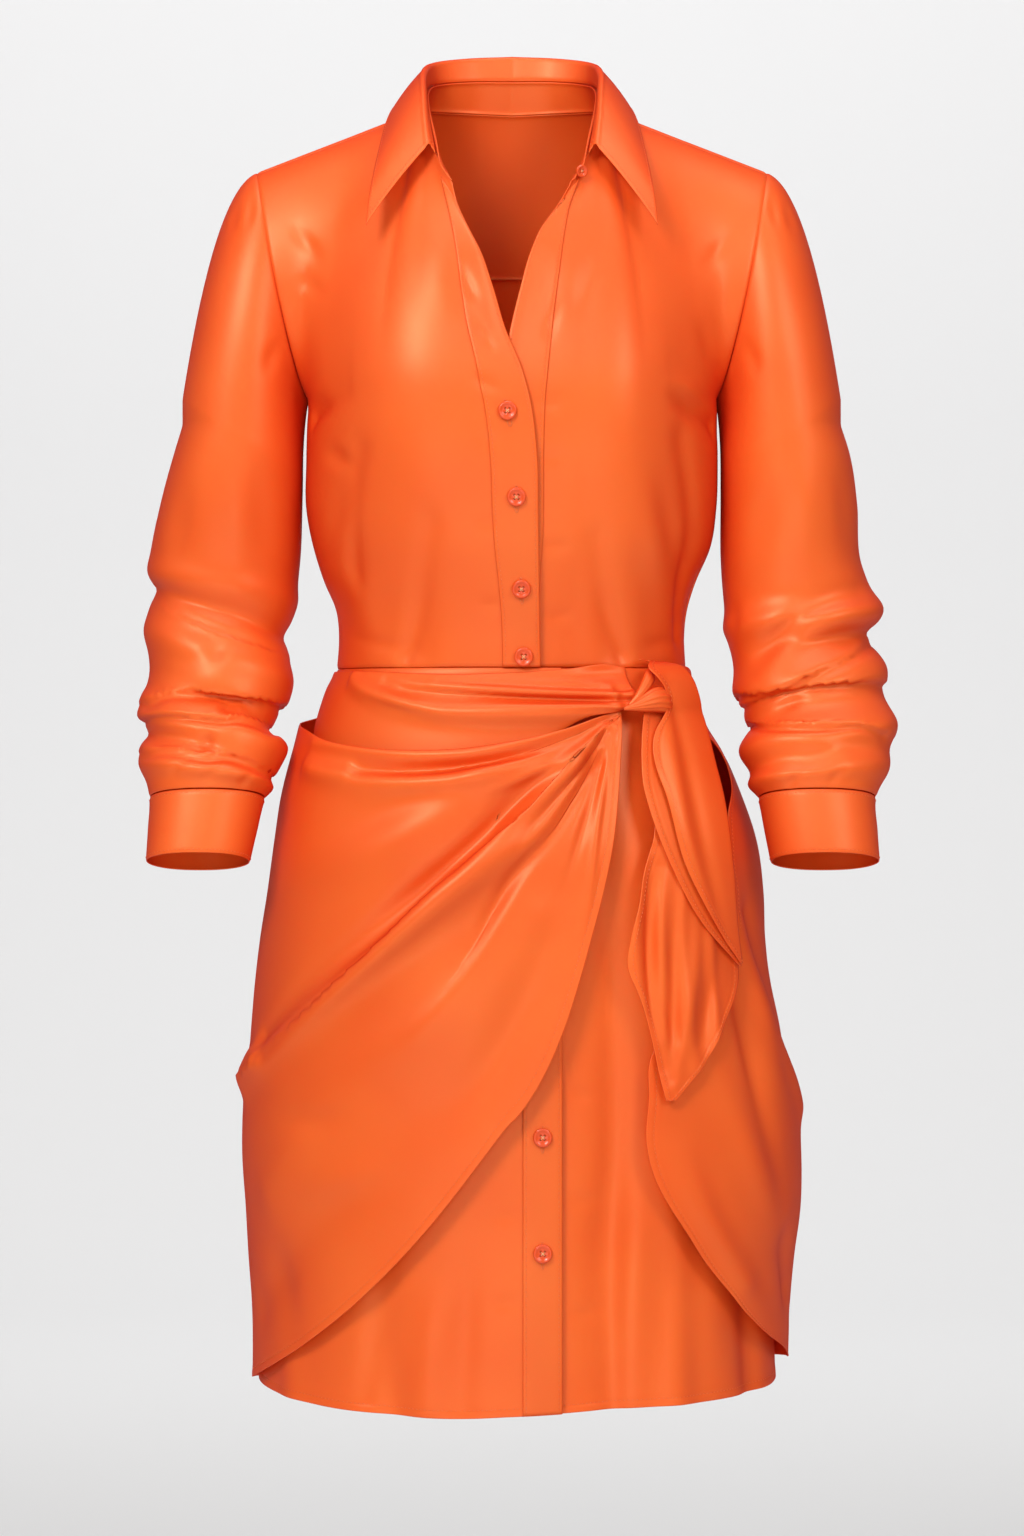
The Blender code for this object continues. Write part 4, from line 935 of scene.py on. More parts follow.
def collar_fall(way, out):
    """out runs from 0 at the top of the stand over the fold to 1 at the collar's outer edge."""
    base, roll = (collar_point(line, 1 - np.abs(way)) for line in ("stand", "roll"))
    edge = collar_point("edge", 1 - np.abs(way) / FALL_END)
    away = edge - roll
    away[..., 2] = 0
    away /= np.linalg.norm(away, axis=-1, keepdims=True)
    up = np.array([0.0, 0.0, 1.0])
    middle = roll + away * LEAF_FOLD - up * LEAF_FOLD
    rise_end = middle - away * LEAF_FOLD
    start = base + (rise_end - base) * (SEAM / np.linalg.norm(rise_end - base, axis=-1))[..., None]
    fold_from, fold_to = 0.2, 0.36
    out = np.asarray(out)[..., None]
    rising = start + (rise_end - start) * np.clip(out / fold_from, 0, 1)
    half_turn = np.pi * np.clip((out - fold_from) / (fold_to - fold_from), 0, 1)
    folding = middle - away * LEAF_FOLD * np.cos(half_turn) + up * LEAF_FOLD * np.sin(half_turn)
    fall = np.clip((out - fold_to) / (1 - fold_to), 0, 1)
    top = middle + away * LEAF_FOLD
    bow = (away * 0.5 + up * 0.8) * LEAF_BELLY * 4 * fall * (1 - fall)
    falling = top + (edge - top) * fall + bow
    point = np.where(out < fold_from, rising, np.where(out < fold_to, folding, falling))
    return mirrored(point, way)

# %% Collar sheets
make_sheet("collar_stand", collar_stand, (-1, 1), (-0.03, 1), -1, dict(top="seam", bottom="seam"), step=2.8)
make_sheet("collar_fall", collar_fall, (-FALL_END, FALL_END), (0, 1), 1, dict(top="seam"), step=2.8)

# %% [markdown]
# ## The sleeves
# A sleeve is a tube that is set into the armhole and narrows to a cuff. Both are pushed up, so the cloth
# of the forearm lies in rolls over the cuff. The tube leaves the armhole along a short cap, and the rolls
# follow a table of heights.

# %% Sleeve forms
# Sections of the sleeves. out and across are the middle and half width of a section, y and deep the same
# from front to back. nod is how much higher its front is than its back.
SLEEVE = Table(
    "height right_out right_across left_out left_across y deep nod",
    [
        (-225, 194, 43, 193.5, 43, 0, 58, 0),
        (-243, 196.5, 46, 196.3, 46, 0, 58, 0),
        (-281, 202, 51, 199.5, 49.2, 2, 58, 0),
        (-320, 206.5, 54, 200.6, 50.2, 4, 56, 0),
        (-350, 208, 52, 206, 53.5, 3, 53, 1),
        (-376, 210, 50, 207, 51, -3, 50, 2),
        (-410, 211.5, 49.5, 213.5, 52, -15, 49, 4),
        (-440, 216, 48.5, 219.5, 51, -28, 47, 6),
        (-471, 214, 48, 218, 50, -45, 45, 7),
        (-492, 216.2, 41.2, 216.5, 42, -57, 37, 7),
        (-516, 219.4, 38.6, 219, 40, -64, 35, 7),
        (-537, 222.2, 36.8, 221.5, 38.6, -70, 33, 7),
    ],
)
SET_IN = 1.0  # how far the head of a sleeve goes under the edge of the armhole
BICEP = dict(height=-234.0, tilt=28.0)  # where the cap ends, tilt higher outside and lower inside
CUFF_TOP = -492.0
CUFF_END = -537.0
# How the cloth leaves the armhole and comes to the bicep: way 0 is at the underarm, 1 at the shoulder tip.
CAP = Table(
    "way leave_out leave_y leave_z come_out come_y come_z",
    [
        (0.0, 3, 0, -12, 0, 0, 20),
        (0.5, 14, -12, -22, -4, 2, 40),
        (1.0, 24, 0, -7, -13, 0, 84),
        (1.5, 14, 14, -22, -4, -2, 40),
        (2.0, 3, 0, -12, 0, 0, 20),
    ],
)
# Folds round the sleeves, from the outer side to the inner one: their heights and rises there, and half
# their width.
ROLL = "out_height in_height out_rise in_rise width"
ROLLS = {
    -1: [
        (-329, -352, 2.0, 2.0, 10),
        (-342, -377, -5.0, -5.0, 8),
        (-372, -410, 5.0, 5.0, 14),
        (-402, -442, -0.5, -6.5, 8),
        (-429, -455, 3.0, 6.5, 11),
        (-447, -476, -5.5, -3.0, 7),
        (-468, -489, 3.5, 6.5, 9),
    ],
    1: [
        (-357, -372, 7.5, 3.5, 11),
        (-375, -393, -5.5, 0.0, 8),
        (-398, -415, 6.0, 2.0, 12),
        (-418, -440, -1.5, -2.0, 8),
        (-440, -458, 5.0, 6.0, 11),
        (-458, -474, -1.5, -2.0, 7),
        (-473, -487, 1.0, 6.0, 9),
    ],
}

def armhole(side, way):
    """The edge of the body's armhole: way 0 at the underarm, 0.5 in front, 1 at the tip, 1.5 behind."""
    front = bodice_front(side)(np.ones_like(way), np.clip(way, 1e-6, TOP_CLIMB))
    back = bodice_back(side * np.ones_like(way), np.clip(2 - way, 1e-6, TOP_CLIMB))
    return np.where((way <= 1)[..., None], front, back)


def tube(side, way, height, swell=0.0):
    name = "right" if side < 0 else "left"
    angle = np.pi * way
    across = SLEEVE.at(f"{name}_across", height) + swell
    deep = SLEEVE.at("deep", height) + swell
    power = 2 / SQUARENESS
    cos, sin = -np.cos(angle), np.sin(angle)
    x = SLEEVE.at(f"{name}_out", height) + across * np.sign(cos) * np.abs(cos) ** power
    y = SLEEVE.at("y", height) - deep * np.sign(sin) * np.abs(sin) ** power
    z = height + SLEEVE.at("nod", height) * sin
    return np.stack([side * x, y, z], axis=-1)


def sleeve(side):
    def surface(way, down):
        outward = np.array([side * ARMHOLE_OUT[0], ARMHOLE_OUT[1], ARMHOLE_OUT[2]])
        mirror = np.array([side, 1.0, 1.0])
        start = armhole(side, way) - outward * SET_IN
        end_height = BICEP["height"] - BICEP["tilt"] * np.cos(np.pi * way)
        end = tube(side, way, end_height)
        t = np.clip(down, 0, 1)[..., None]
        leave = start + CAP.points("leave_out leave_y leave_z", way) * mirror
        come = end + CAP.points("come_out come_y come_z", way) * mirror
        cap = (1 - t) ** 3 * start + 3 * t * (1 - t) ** 2 * leave + 3 * t * t * (1 - t) * come + t**3 * end
        fall = np.clip(down - 1, 0, 1)
        height = end_height + (CUFF_TOP + SEAM - end_height) * fall
        swell = np.zeros(np.broadcast(way, down).shape)
        inner = (1 + np.cos(np.pi * way)) / 2
        for row in ROLLS[side]:
            roll = dict(zip(ROLL.split(), row))
            middle = roll["out_height"] + (roll["in_height"] - roll["out_height"]) * inner
            rise = roll["out_rise"] + (roll["in_rise"] - roll["out_rise"]) * inner
            swell = swell + rise * np.exp(-(((height - middle) / roll["width"]) ** 2))
        swell = swell * smoothstep((1 - fall) / 0.05)
        return np.where((down > 1)[..., None], tube(side, way, height, swell), cap)

    return surface


def cuff(side):
    def surface(way, down):
        return tube(side, way, CUFF_TOP - SEAM + (CUFF_END - CUFF_TOP + SEAM) * down, 0.0)

    return surface

# %% Sleeve sheets
SLEEVE_CREASES = {
    -1: [
    (1.73, 2.88, 1.73, 14, 4.9, 2, (-253.8, -344.7), (-246, -355.3), (-231.8, -364.5), (-214.1, -371.6),
     (-196.4, -378), (-177.2, -384.4), (-161.7, -389.4)),
    (-1.34, -1.92, -1.34, 4.2, 6.3, 0, (-253.8, -343.3), (-246, -353.9), (-231.8, -363.1), (-214.1, -370.2),
     (-196.4, -376.6), (-177.2, -383), (-161.7, -387.9)),
    (2.3, 3.84, 2.3, 10, 3.5, 4.5, (-260.2, -421.3), (-249.6, -415.6), (-238.9, -413.5), (-221.2, -414.2),
     (-199.9, -415.6), (-178.7, -419.1), (-158.8, -424.1)),
    (-2.86, -4.08, -2.86, 3, 4.5, 0, (-260.2, -424.8), (-249.6, -419.1), (-238.9, -417), (-221.2, -417.7),
     (-199.9, -419.1), (-178.7, -422.7), (-158.8, -427.7)),
    (1.87, 3.12, 1.87, 8, 2.8, 3.5, (-263.7, -434), (-255.2, -431.2), (-238.9, -430.5), (-221.2, -431.9),
     (-205.6, -434), (-195, -431.9), (-182.2, -434.7), (-168.7, -441.1)),
    (-2.69, -3.84, -2.69, 2.4, 3.6, 0, (-263.7, -437.6), (-255.2, -434.7), (-238.9, -434), (-221.2, -435.4),
     (-205.6, -437.6), (-195, -435.4), (-182.2, -438.3), (-168.7, -444.7)),
    (1.87, 3.12, 1.87, 9, 3.15, 3, (-259.5, -458.1), (-246, -454.6), (-228.3, -457.4), (-214.1, -460.3),
     (-199.9, -458.1), (-185.8, -463.1), (-175.1, -468.8), (-165.9, -478)),
    (-2.35, -3.36, -2.35, 2.7, 4.05, 0, (-259.5, -461.7), (-246, -458.1), (-228.3, -461), (-214.1, -463.8),
     (-199.9, -461.7), (-185.8, -466.6), (-175.1, -472.3), (-165.9, -481.5)),
    (0, -3.12, 0, 4, 4, 0, (-208.4, -431.2), (-201.4, -425.5), (-192.8, -428.4)),
    (0, -2.64, 0, 4, 4, 0, (-219.8, -456.7), (-215.5, -451), (-208.4, -453.9)),
    (0, -2.16, 0, 6, 6, 0, (-224, -384.4), (-211.3, -387.9), (-195.7, -387.2)),
    (0, -1.92, -0.36, 12, 12, 0, (-185.8, -238.3), (-177.2, -288), (-173, -344.7)),
    (0, 1.68, 0.36, 12, 12, 0, (-198.5, -231.3), (-192.8, -288), (-192.8, -344.7)),
    (0, -1.68, 0, 9, 9, 0, (-231.1, -259.6), (-236.8, -302.2), (-241.1, -337.6)),
    (0, -1.2, 0, 3.5, 3.5, 0, (-185.8, -55.4), (-187.2, -71.7), (-188.6, -90.9)),
    (0, -0.96, 0, 3.5, 3.5, 0, (-194.3, -61.1), (-198.5, -76.7), (-201.4, -93.7)),
    (0, -1.44, 0, 5, 5, 0, (-163.1, -160.4), (-170.2, -174.5), (-175.8, -198.6)),
    (0, 1.92, 0, 8, 8, 0, (-238.2, -400), (-214.1, -402.8), (-185.8, -402.8)),
    (0, -1.2, -0.6, 3, 3, 0, (-242.5, -478), (-238.2, -472.3), (-231.1, -466.6)),
    (0, -1.2, -0.6, 3, 3, 0, (-217, -480.8), (-212.7, -475.2), (-204.2, -470.9)),
    (0, -1.2, -0.6, 3, 3, 0, (-192.8, -486.5), (-188.6, -479.4), (-182.9, -475.2)),
    ],
    1: [
    (2.16, 3.6, 2.16, 11, 3.85, 4, (152.4, -416.3), (165.2, -414.9), (179.4, -413.5), (197.1, -408.5),
     (218.4, -398.6), (236.1, -391.5), (252.4, -380.9)),
    (-2.69, -3.84, -2.69, 3.3, 4.95, 0, (152.4, -419.1), (165.2, -417.7), (179.4, -416.3), (197.1, -411.3),
     (218.4, -401.4), (236.1, -394.3), (252.4, -383.7)),
    (1.73, 2.88, 1.73, 8, 2.8, 3, (163.1, -425.5), (179.4, -417.7), (204.2, -411.3), (232.6, -408.5),
     (250.3, -407.8), (263.7, -408.5)),
    (-2.18, -3.12, -2.18, 2.4, 3.6, 0, (163.1, -428.4), (179.4, -420.6), (204.2, -414.2), (232.6, -411.3),
     (250.3, -410.6), (263.7, -411.3)),
    (1.87, 3.12, 1.87, 8, 2.8, 3, (163.1, -434), (172.3, -437.6), (197.1, -438.3), (225.5, -438.3),
     (248.1, -436.9), (263.7, -444)),
    (-2.52, -3.6, -2.52, 2.4, 3.6, 0, (163.1, -437.6), (172.3, -441.1), (197.1, -441.8), (225.5, -441.8),
     (248.1, -440.4), (263.7, -447.5)),
    (-1.2, -3.6, -1.92, 8, 8, 0, (172.3, -402.8), (182.9, -381.6), (204.2, -360.3), (231.1, -349),
     (246.7, -344.7)),
    (1.2, 2.88, 2.4, 8, 8, 0, (168.7, -415.6), (179.4, -400), (204.2, -380.1), (232.6, -364.5),
     (258.1, -361.7)),
    (0, -2.88, 0, 4, 4, 0, (184.3, -431.2), (197.1, -423.4), (212.7, -420.6)),
    (0, 2.16, 0, 7, 7, 0, (186.5, -463.1), (204.2, -455.3), (225.5, -453.9), (248.1, -470.9)),
    (0, -1.92, 0, 6, 6, 0, (182.9, -473.7), (204.2, -468.1), (232.6, -468.1)),
    (0, -2.16, -0.36, 12, 12, 0, (184.3, -252.5), (177.2, -295.1), (170.2, -344.7)),
    (0, 1.92, 0.36, 12, 12, 0, (204.2, -238.3), (208.4, -280.9), (212.7, -323.4)),
    (0, -1.8, -0.6, 8, 8, 0, (231.1, -245.4), (238.2, -280.9), (241.1, -323.4)),
    (0, -1.2, 0, 3.5, 3.5, 0, (184.3, -55.4), (187.2, -71.7), (190, -90.9)),
    (0, -0.96, 0, 3.5, 3.5, 0, (194.3, -61.1), (198.5, -76.7), (202.8, -93.7)),
    (0, -1.44, 0, 5, 5, 0, (163.1, -160.4), (170.2, -174.5), (174.4, -198.6)),
    (0, -1.44, 0, 4, 4, 0, (153.1, -387.2), (158.8, -367.4), (158.1, -344.7)),
    (0, -1.2, -0.6, 3, 3, 0, (192.8, -486.5), (197.1, -479.4), (204.2, -473.7)),
    (0, -1.2, -0.6, 3, 3, 0, (222.6, -483.7), (226.9, -476.6), (234, -472.3)),
    ],
}
BACK_DRIFT = 9.0  # the rolls sit this much lower behind than in front
SLEEVE_STEP = 2.9


def behind(way, down):
    return BACK_DRIFT * np.clip(-np.sin(np.pi * way), 0, 1)


for side, name in ((-1, "right"), (1, "left")):
    creased_sleeve = wrinkled(sleeve(side), SLEEVE_CREASES[side], -side, behind)
    seams = dict(start="join", end="join", top="seam", bottom="seam")
    make_sheet(f"sleeve_{name}", creased_sleeve, (0, 2), (0, 2), -side, seams, tube=True, step=SLEEVE_STEP)
    ends = dict(start="join", end="join", top="seam", bottom="fold")
    make_sheet(f"cuff_{name}", cuff(side), (0, 2), (0, 1), -side, ends, tube=True)

# %% [markdown]
# ## The skirt
# Under the wrap hangs a short skirt with the same button band as the bodice and a hem that is cut longer in
# front and behind than at the sides.

# %% Skirt forms
HEM_BOTTOM = -924.0
HEM_LINE = Table(
    "turn height",
    [
        (-90, -907), (-60, -914), (-40, -919.5), (-25, -922), (-8, -924), (2, -922), (17, -918.5),
        (40, -915.5), (60, -912.5), (75, -910), (90, -907), (115, -912), (150, -921), (180, -923),
        (210, -921), (245, -912), (270, -907),
    ],
)
SKIRT_EDGE = dict(right_front=35.0, left_front=6.0, band=27.5)  # inner edges of the fronts, band's width
SKIRT_FOLDS = [
    (-62, -620, -60, -760, -56, -925, 0.0, 3.0, 16),
    (-30, -700, -28, -810, -24, -925, 0.0, -4.5, 14),
    (21, -500, 20, -700, 19, -925, -2.0, -5.0, 10),
    (32, -560, 33, -740, 34, -925, 1.0, 5.5, 15),
    (58, -640, 60, -780, 62, -925, 0.0, -5.0, 15),
    (118, -560, 120, -740, 122, -925, 0.0, 6.0, 20),
    (150, -520, 151, -720, 152, -925, 0.0, -5.0, 18),
    (180, -560, 181, -740, 183, -925, 0.0, 6.0, 20),
    (212, -520, 211, -720, 208, -925, 0.0, -5.0, 18),
    (242, -560, 241, -740, 238, -925, 0.0, 6.0, 20),
]


def hem_height(turn):
    return HEM_LINE.at("height", turn)


def skirt_at(turn, down, inward=0.0):
    """The skirt at a turn; down is 0 at the waist seam and 1 at the hem."""
    top = WAIST - SEAM / 2
    height = top + (hem_height(turn) - top) * down
    return moved_out(SKIRT, turn, height, folds(SKIRT_FOLDS, turn, height) - inward)


def skirt_front(side):
    """share is 0 at the inner edge and 1 at the side seam."""
    edge = SKIRT_EDGE["right_front" if side < 0 else "left_front"]

    def surface(share, down):
        height = WAIST + (HEM_BOTTOM - WAIST) * down
        start = turn_at(SKIRT, edge + 0 * height, height)
        turn = start + (side * SIDE_TURN - start) * share
        return skirt_at(turn, down, OVERLAP * near_middle(turn) if side > 0 else 0.0)

    return surface


def skirt_band(share, down):
    """The button band of the right front, share 0 at its inner edge."""
    height = WAIST + (HEM_BOTTOM - WAIST) * down
    x = SKIRT_EDGE["right_front"] - SKIRT_EDGE["band"] * share
    return skirt_at(turn_at(SKIRT, x, height), down, -(LAID + BAND_WALL))


def skirt_back(turn, down):
    return skirt_at(turn, down)

# %% Skirt sheets
SKIRT_CREASES = [
    (0, -3.24, -1.35, 12, 12, 0, (69.5, -715.5), (61.2, -798.9), (57, -904.6)),
    (0, 2.97, 1.35, 11, 11, 0, (94.5, -736.4), (84.8, -812.8), (80.6, -908.8)),
    (0, -2.7, -1.08, 10, 10, 0, (111.2, -764.2), (108.4, -833.7), (105.6, -908.8)),
    (0, 2.7, 1.08, 12, 12, 0, (134.8, -798.9), (139, -847.6), (143.2, -906)),
    (0, -2.16, -1.89, 9, 9, 0, (162.6, -833.7), (166.8, -868.4), (171, -901.8)),
    (0, -1.08, -0.27, 4, 4, 0, (37.5, -696.1), (47.3, -700.2), (59.8, -697.5)),
    (0, -1.08, -0.27, 4, 4, 0, (37.5, -768.4), (48.6, -773.9), (61.2, -771.1)),
    (0, -1.08, -0.27, 4, 4, 0, (37.5, -847.6), (48.6, -853.1), (62.5, -849)),
    (0, -0.94, -0.27, 4, 4, 0, (-16.7, -779.5), (-5.6, -783.6), (6.3, -780.9)),
    (0, -1.08, -0.27, 4, 4, 0, (-18.1, -840.6), (-5.6, -844.8), (6.3, -840.6)),
    (0, -2.16, -1.62, 10, 10, 0, (-29.2, -792), (-32, -847.6), (-34.8, -917.1)),
    (0, 2.03, 1.76, 10, 10, 0, (-54.2, -819.8), (-57, -861.5), (-61.2, -915.7)),
    (0, -1.62, -1.89, 8, 8, 0, (-91.7, -840.6), (-97.3, -875.4), (-102.9, -911.5)),
]
SKIRT_BACK_CREASES = [
    (-2.0, -1.4, 0, 8, 8, 0, (-70, -404), (-72, -450), (-78, -520)),
    (1.4, 1.2, 0, 9, 9, 0, (-44, -404), (-45, -450), (-48, -510)),
    (-1.8, -1.4, 0, 8, 8, 0, (-12, -404), (-10, -450), (-8, -540)),
    (1.4, 1.4, 0, 9, 9, 0, (22, -404), (24, -460), (26, -520)),
    (-2.0, -1.4, 0, 8, 8, 0, (58, -404), (62, -450), (70, -520)),
    (0, -2.0, -0.6, 12, 12, 0, (-120, -640), (-118, -740), (-112, -900)),
    (0, 2.0, 0.8, 13, 13, 0, (-64, -600), (-60, -740), (-58, -910)),
    (0, -1.8, -0.8, 12, 12, 0, (36, -620), (40, -760), (44, -915)),
    (0, 2.0, 0.8, 12, 12, 0, (104, -600), (110, -740), (112, -905)),
]
HEMMED = dict(start="fold", end="seam", top="seam", bottom="hem")
for side, name in ((-1, "right"), (1, "left")):
    panel = wrinkled(skirt_front(side), SKIRT_CREASES, -side)
    make_sheet(f"skirt_front_{name}", panel, (0, 1), (0, 1), -side, HEMMED, step=4.0)
band = wrinkled(skirt_band, SKIRT_CREASES, 1)
make_sheet("skirt_placket", band, (0, 1), (0.09, 1), 1, BAND_EDGES, BAND_THICK)
panel = wrinkled(skirt_back, SKIRT_BACK_CREASES, -1)
around = (180 - SIDE_TURN, 180 + SIDE_TURN)
edges = dict(start="seam", end="seam", top="seam", bottom="hem")
make_sheet("skirt_back", panel, around, (0, 1), -1, edges, step=PLAIN_STEP)

# %% [markdown]
# ## The wrap and its knot
# Two panels are sewn in at the sides. The right one crosses the front and is drawn up into the knot at
# the left hip, so its folds run out from there like rays. The left one hangs behind the knot. The ends of
# the tie hang down as two tails.

# %% Wrap forms
SIDE_EDGE = 100.0  # the wrap's panels end here, just behind the side seam
SEATED = 0.8  # gap to the skirt where they are sewn
# Top edge of the right wrap panel, and its hem: the four points of a curve from the knot to the side.
CREST = Table(
    "turn height",
    [
        (-100, -433), (-90, -438), (-70, -444), (-51, -453), (-26.5, -458.5), (-6, -456), (10.6, -445),
        (20, -437), (31, -429.5),
    ],
)
RIGHT_HEM = ((30.2, -435), (9.5, -568), (13.5, -897), (-SIDE_EDGE, -911))
RIGHT_TOP = (31.0, -SIDE_EDGE)  # turns of the ends of its top edge
RIGHT_FOLDS = [
    (24, -440, -4, -468, -40, -472, -1.0, -2.5, 6),
    (22, -447, -14, -484, -62, -470, 1.5, 3.0, 9),
    (18, -466, -12, -542, -66, -662, -3.0, -7.0, 11),
    (14, -470, -13, -556, -78, -690, 4.0, 8.0, 15),
    (18, -470, 1, -546, -25, -672, -3.0, 0.0, 10),
    (10, -500, -20, -640, -60, -770, 0.0, 3.0, 22),
    (2, -640, -30, -760, -70, -850, -1.0, -3.0, 18),
]
# Front edge of the left wrap panel, from the waist down to its corner at the side seam.
LEFT_EDGE = Table(
    "height turn",
    [
        (-394, 42), (-399, 52), (-405, 57), (-413, 61), (-430, 67), (-446, 72), (-460, 79), (-480, 75),
        (-502, 63), (-530, 58), (-566, 58), (-590, 55), (-622, 41), (-653, 31), (-674, 26), (-701, 24.6),
        (-732, 23.6), (-760, 25.8), (-777, 28.8), (-798, 33.8), (-819, 39.5), (-837, 46), (-856, 54),
        (-874, 66), (-886, 79), (-893, 86),
    ],
)
LEFT_FOLDS = [
    (60, -585, 68, -640, 84, -712, 3.0, 4.0, 12),
    (66, -575, 78, -640, 92, -690, -4.0, -2.0, 12),
    (40, -640, 48, -720, 66, -790, 0.0, 4.0, 16),
    (52, -690, 62, -770, 78, -840, -1.0, -5.0, 14),
    (30, -700, 38, -760, 52, -830, 0.0, 2.5, 14),
]


def wrapped(turn, height, lift):
    """A point of the wrap, drawn in to the skirt behind the side seams."""
    point = moved_out(WRAP, turn, height, lift)
    sewn = moved_out(SKIRT, turn, height, folds(SKIRT_FOLDS, turn % 360, height) + SEATED + WALL)
    share = smoothstep((np.abs(turn) - 88) / (SIDE_EDGE - 89))[..., None]
    return point * (1 - share) + sewn * share


def curve_of_four(points, t):
    a, b, c, d = (np.array(p, float) for p in points)
    t = np.asarray(t)[..., None]
    return (1 - t) ** 3 * a + 3 * t * (1 - t) ** 2 * b + 3 * t * t * (1 - t) * c + t**3 * d


def wrap_right(along, down):
    """along runs from the knot to the side seam, down from the top edge to the hem."""
    turn = RIGHT_TOP[0] + (RIGHT_TOP[1] - RIGHT_TOP[0]) * along
    top = np.stack([turn, CREST.at("height", turn)], axis=-1)
    place = top + (curve_of_four(RIGHT_HEM, along) - top) * np.asarray(down)[..., None]
    turn, height = place[..., 0], place[..., 1]
    lift = folds(RIGHT_FOLDS, turn, height) * smoothstep((31 - turn) / 11)
    return wrapped(turn, height, lift)


def wrap_left(along, down):
    """along runs from the front edge to the side seam, down from the waist to the bottom corner."""
    edge_height = LEFT_EDGE.key[-1] + (LEFT_EDGE.key[0] - LEFT_EDGE.key[-1]) * down
    turn = LEFT_EDGE.at("turn", edge_height)
    side_height = WAIST - 1 + (-896 - WAIST + 1) * down
    turn = turn + (SIDE_EDGE - turn) * along
    height = edge_height + (side_height - edge_height) * along
    return wrapped(turn, height, folds(LEFT_FOLDS, turn, height))


# The band at the waist: its upper edge, and the roll of gathered cloth that runs along it into the knot.
BAND_TOP = Table("turn height", [(-100, -402), (-57, -402), (-3, -404), (15, -401), (29, -398), (36, -400)])
BAND_LOW = Table(
    "turn height",
    [(-100, -432), (-92, -438), (-84, -446), (-70, -453), (-51, -458), (-26.5, -463), (-6, -461), (8, -449),
     (18, -437), (29, -432), (36, -428)],
)
BAND_FOLDS = [
    (-57, -407, -20, -431, 28, -429, 4.0, 5.0, 7),
    (-40, -410, -10, -423, 26, -423, -1.0, -2.0, 4),
    (-50, -403, -12, -413, 28, -418, 0.5, 3.0, 5),
    (24, -418, 31, -422, 37, -424, 1.0, 9.0, 10),
]


def tie_band(turn, down):
    top, low = BAND_TOP.at("height", turn), BAND_LOW.at("height", turn)
    height = top + (low - top) * down
    point = moved_out(BAND, turn, height, folds(BAND_FOLDS, turn, height))
    sewn = moved_out(SKIRT, turn, height, SEATED + WALL)
    share = smoothstep((np.abs(turn) - 88) / (SIDE_EDGE - 89))[..., None]
    return point * (1 - share) + sewn * share


# The under tail, seen from the front: x of its edges at each height, and how far it stands off the wrap.
TAIL_UNDER = Table(
    "height left right lift",
    [
        (-424, 96, 112, 2.0), (-450, 98, 120, 3.5), (-486, 98, 126, 5), (-524, 96.3, 134, 5.5),
        (-545, 90, 140, 5.5), (-566, 86.6, 145, 5.5), (-590, 81, 150, 5.5), (-610, 79, 155, 5.5),
        (-630, 86.6, 153.5, 5.5), (-646, 92, 147.5, 5.5), (-660, 95.6, 141.5, 5.5), (-673, 98.5, 135, 5.5),
        (-690, 102, 123, 5.5), (-703, 105.5, 112, 5.5),
    ],
)
UNDER_FOLDS = [
    (38, -520, 36, -580, 36, -680, 3.0, 2.0, 7),
    (45, -560, 45, -620, 43, -670, 2.5, 2.0, 6),
    (32, -540, 29, -600, 33, -660, -2.0, -1.0, 6),
]


def hanging(table, rows):
    """A tail that lies over the wrap. across runs over its width and down over its length."""

    def surface(across, down):
        height = table.key[-1] + (table.key[0] - table.key[-1]) * down
        left, right = table.at("left", height), table.at("right", height)
        x = left + (right - left) * across
        turn = turn_at(WRAP, x, height)
        lift = table.at("lift", height) + folds(rows, turn, height)
        return moved_out(WRAP, turn, height, lift)

    return surface


# %% [markdown]
# ## Creases of the wrap
# The sharpest fold crosses the hip from the knot to the right side seam. Its upper side drops into a dark
# valley and its lower side is broad and bright. The others fade out before they reach the side.

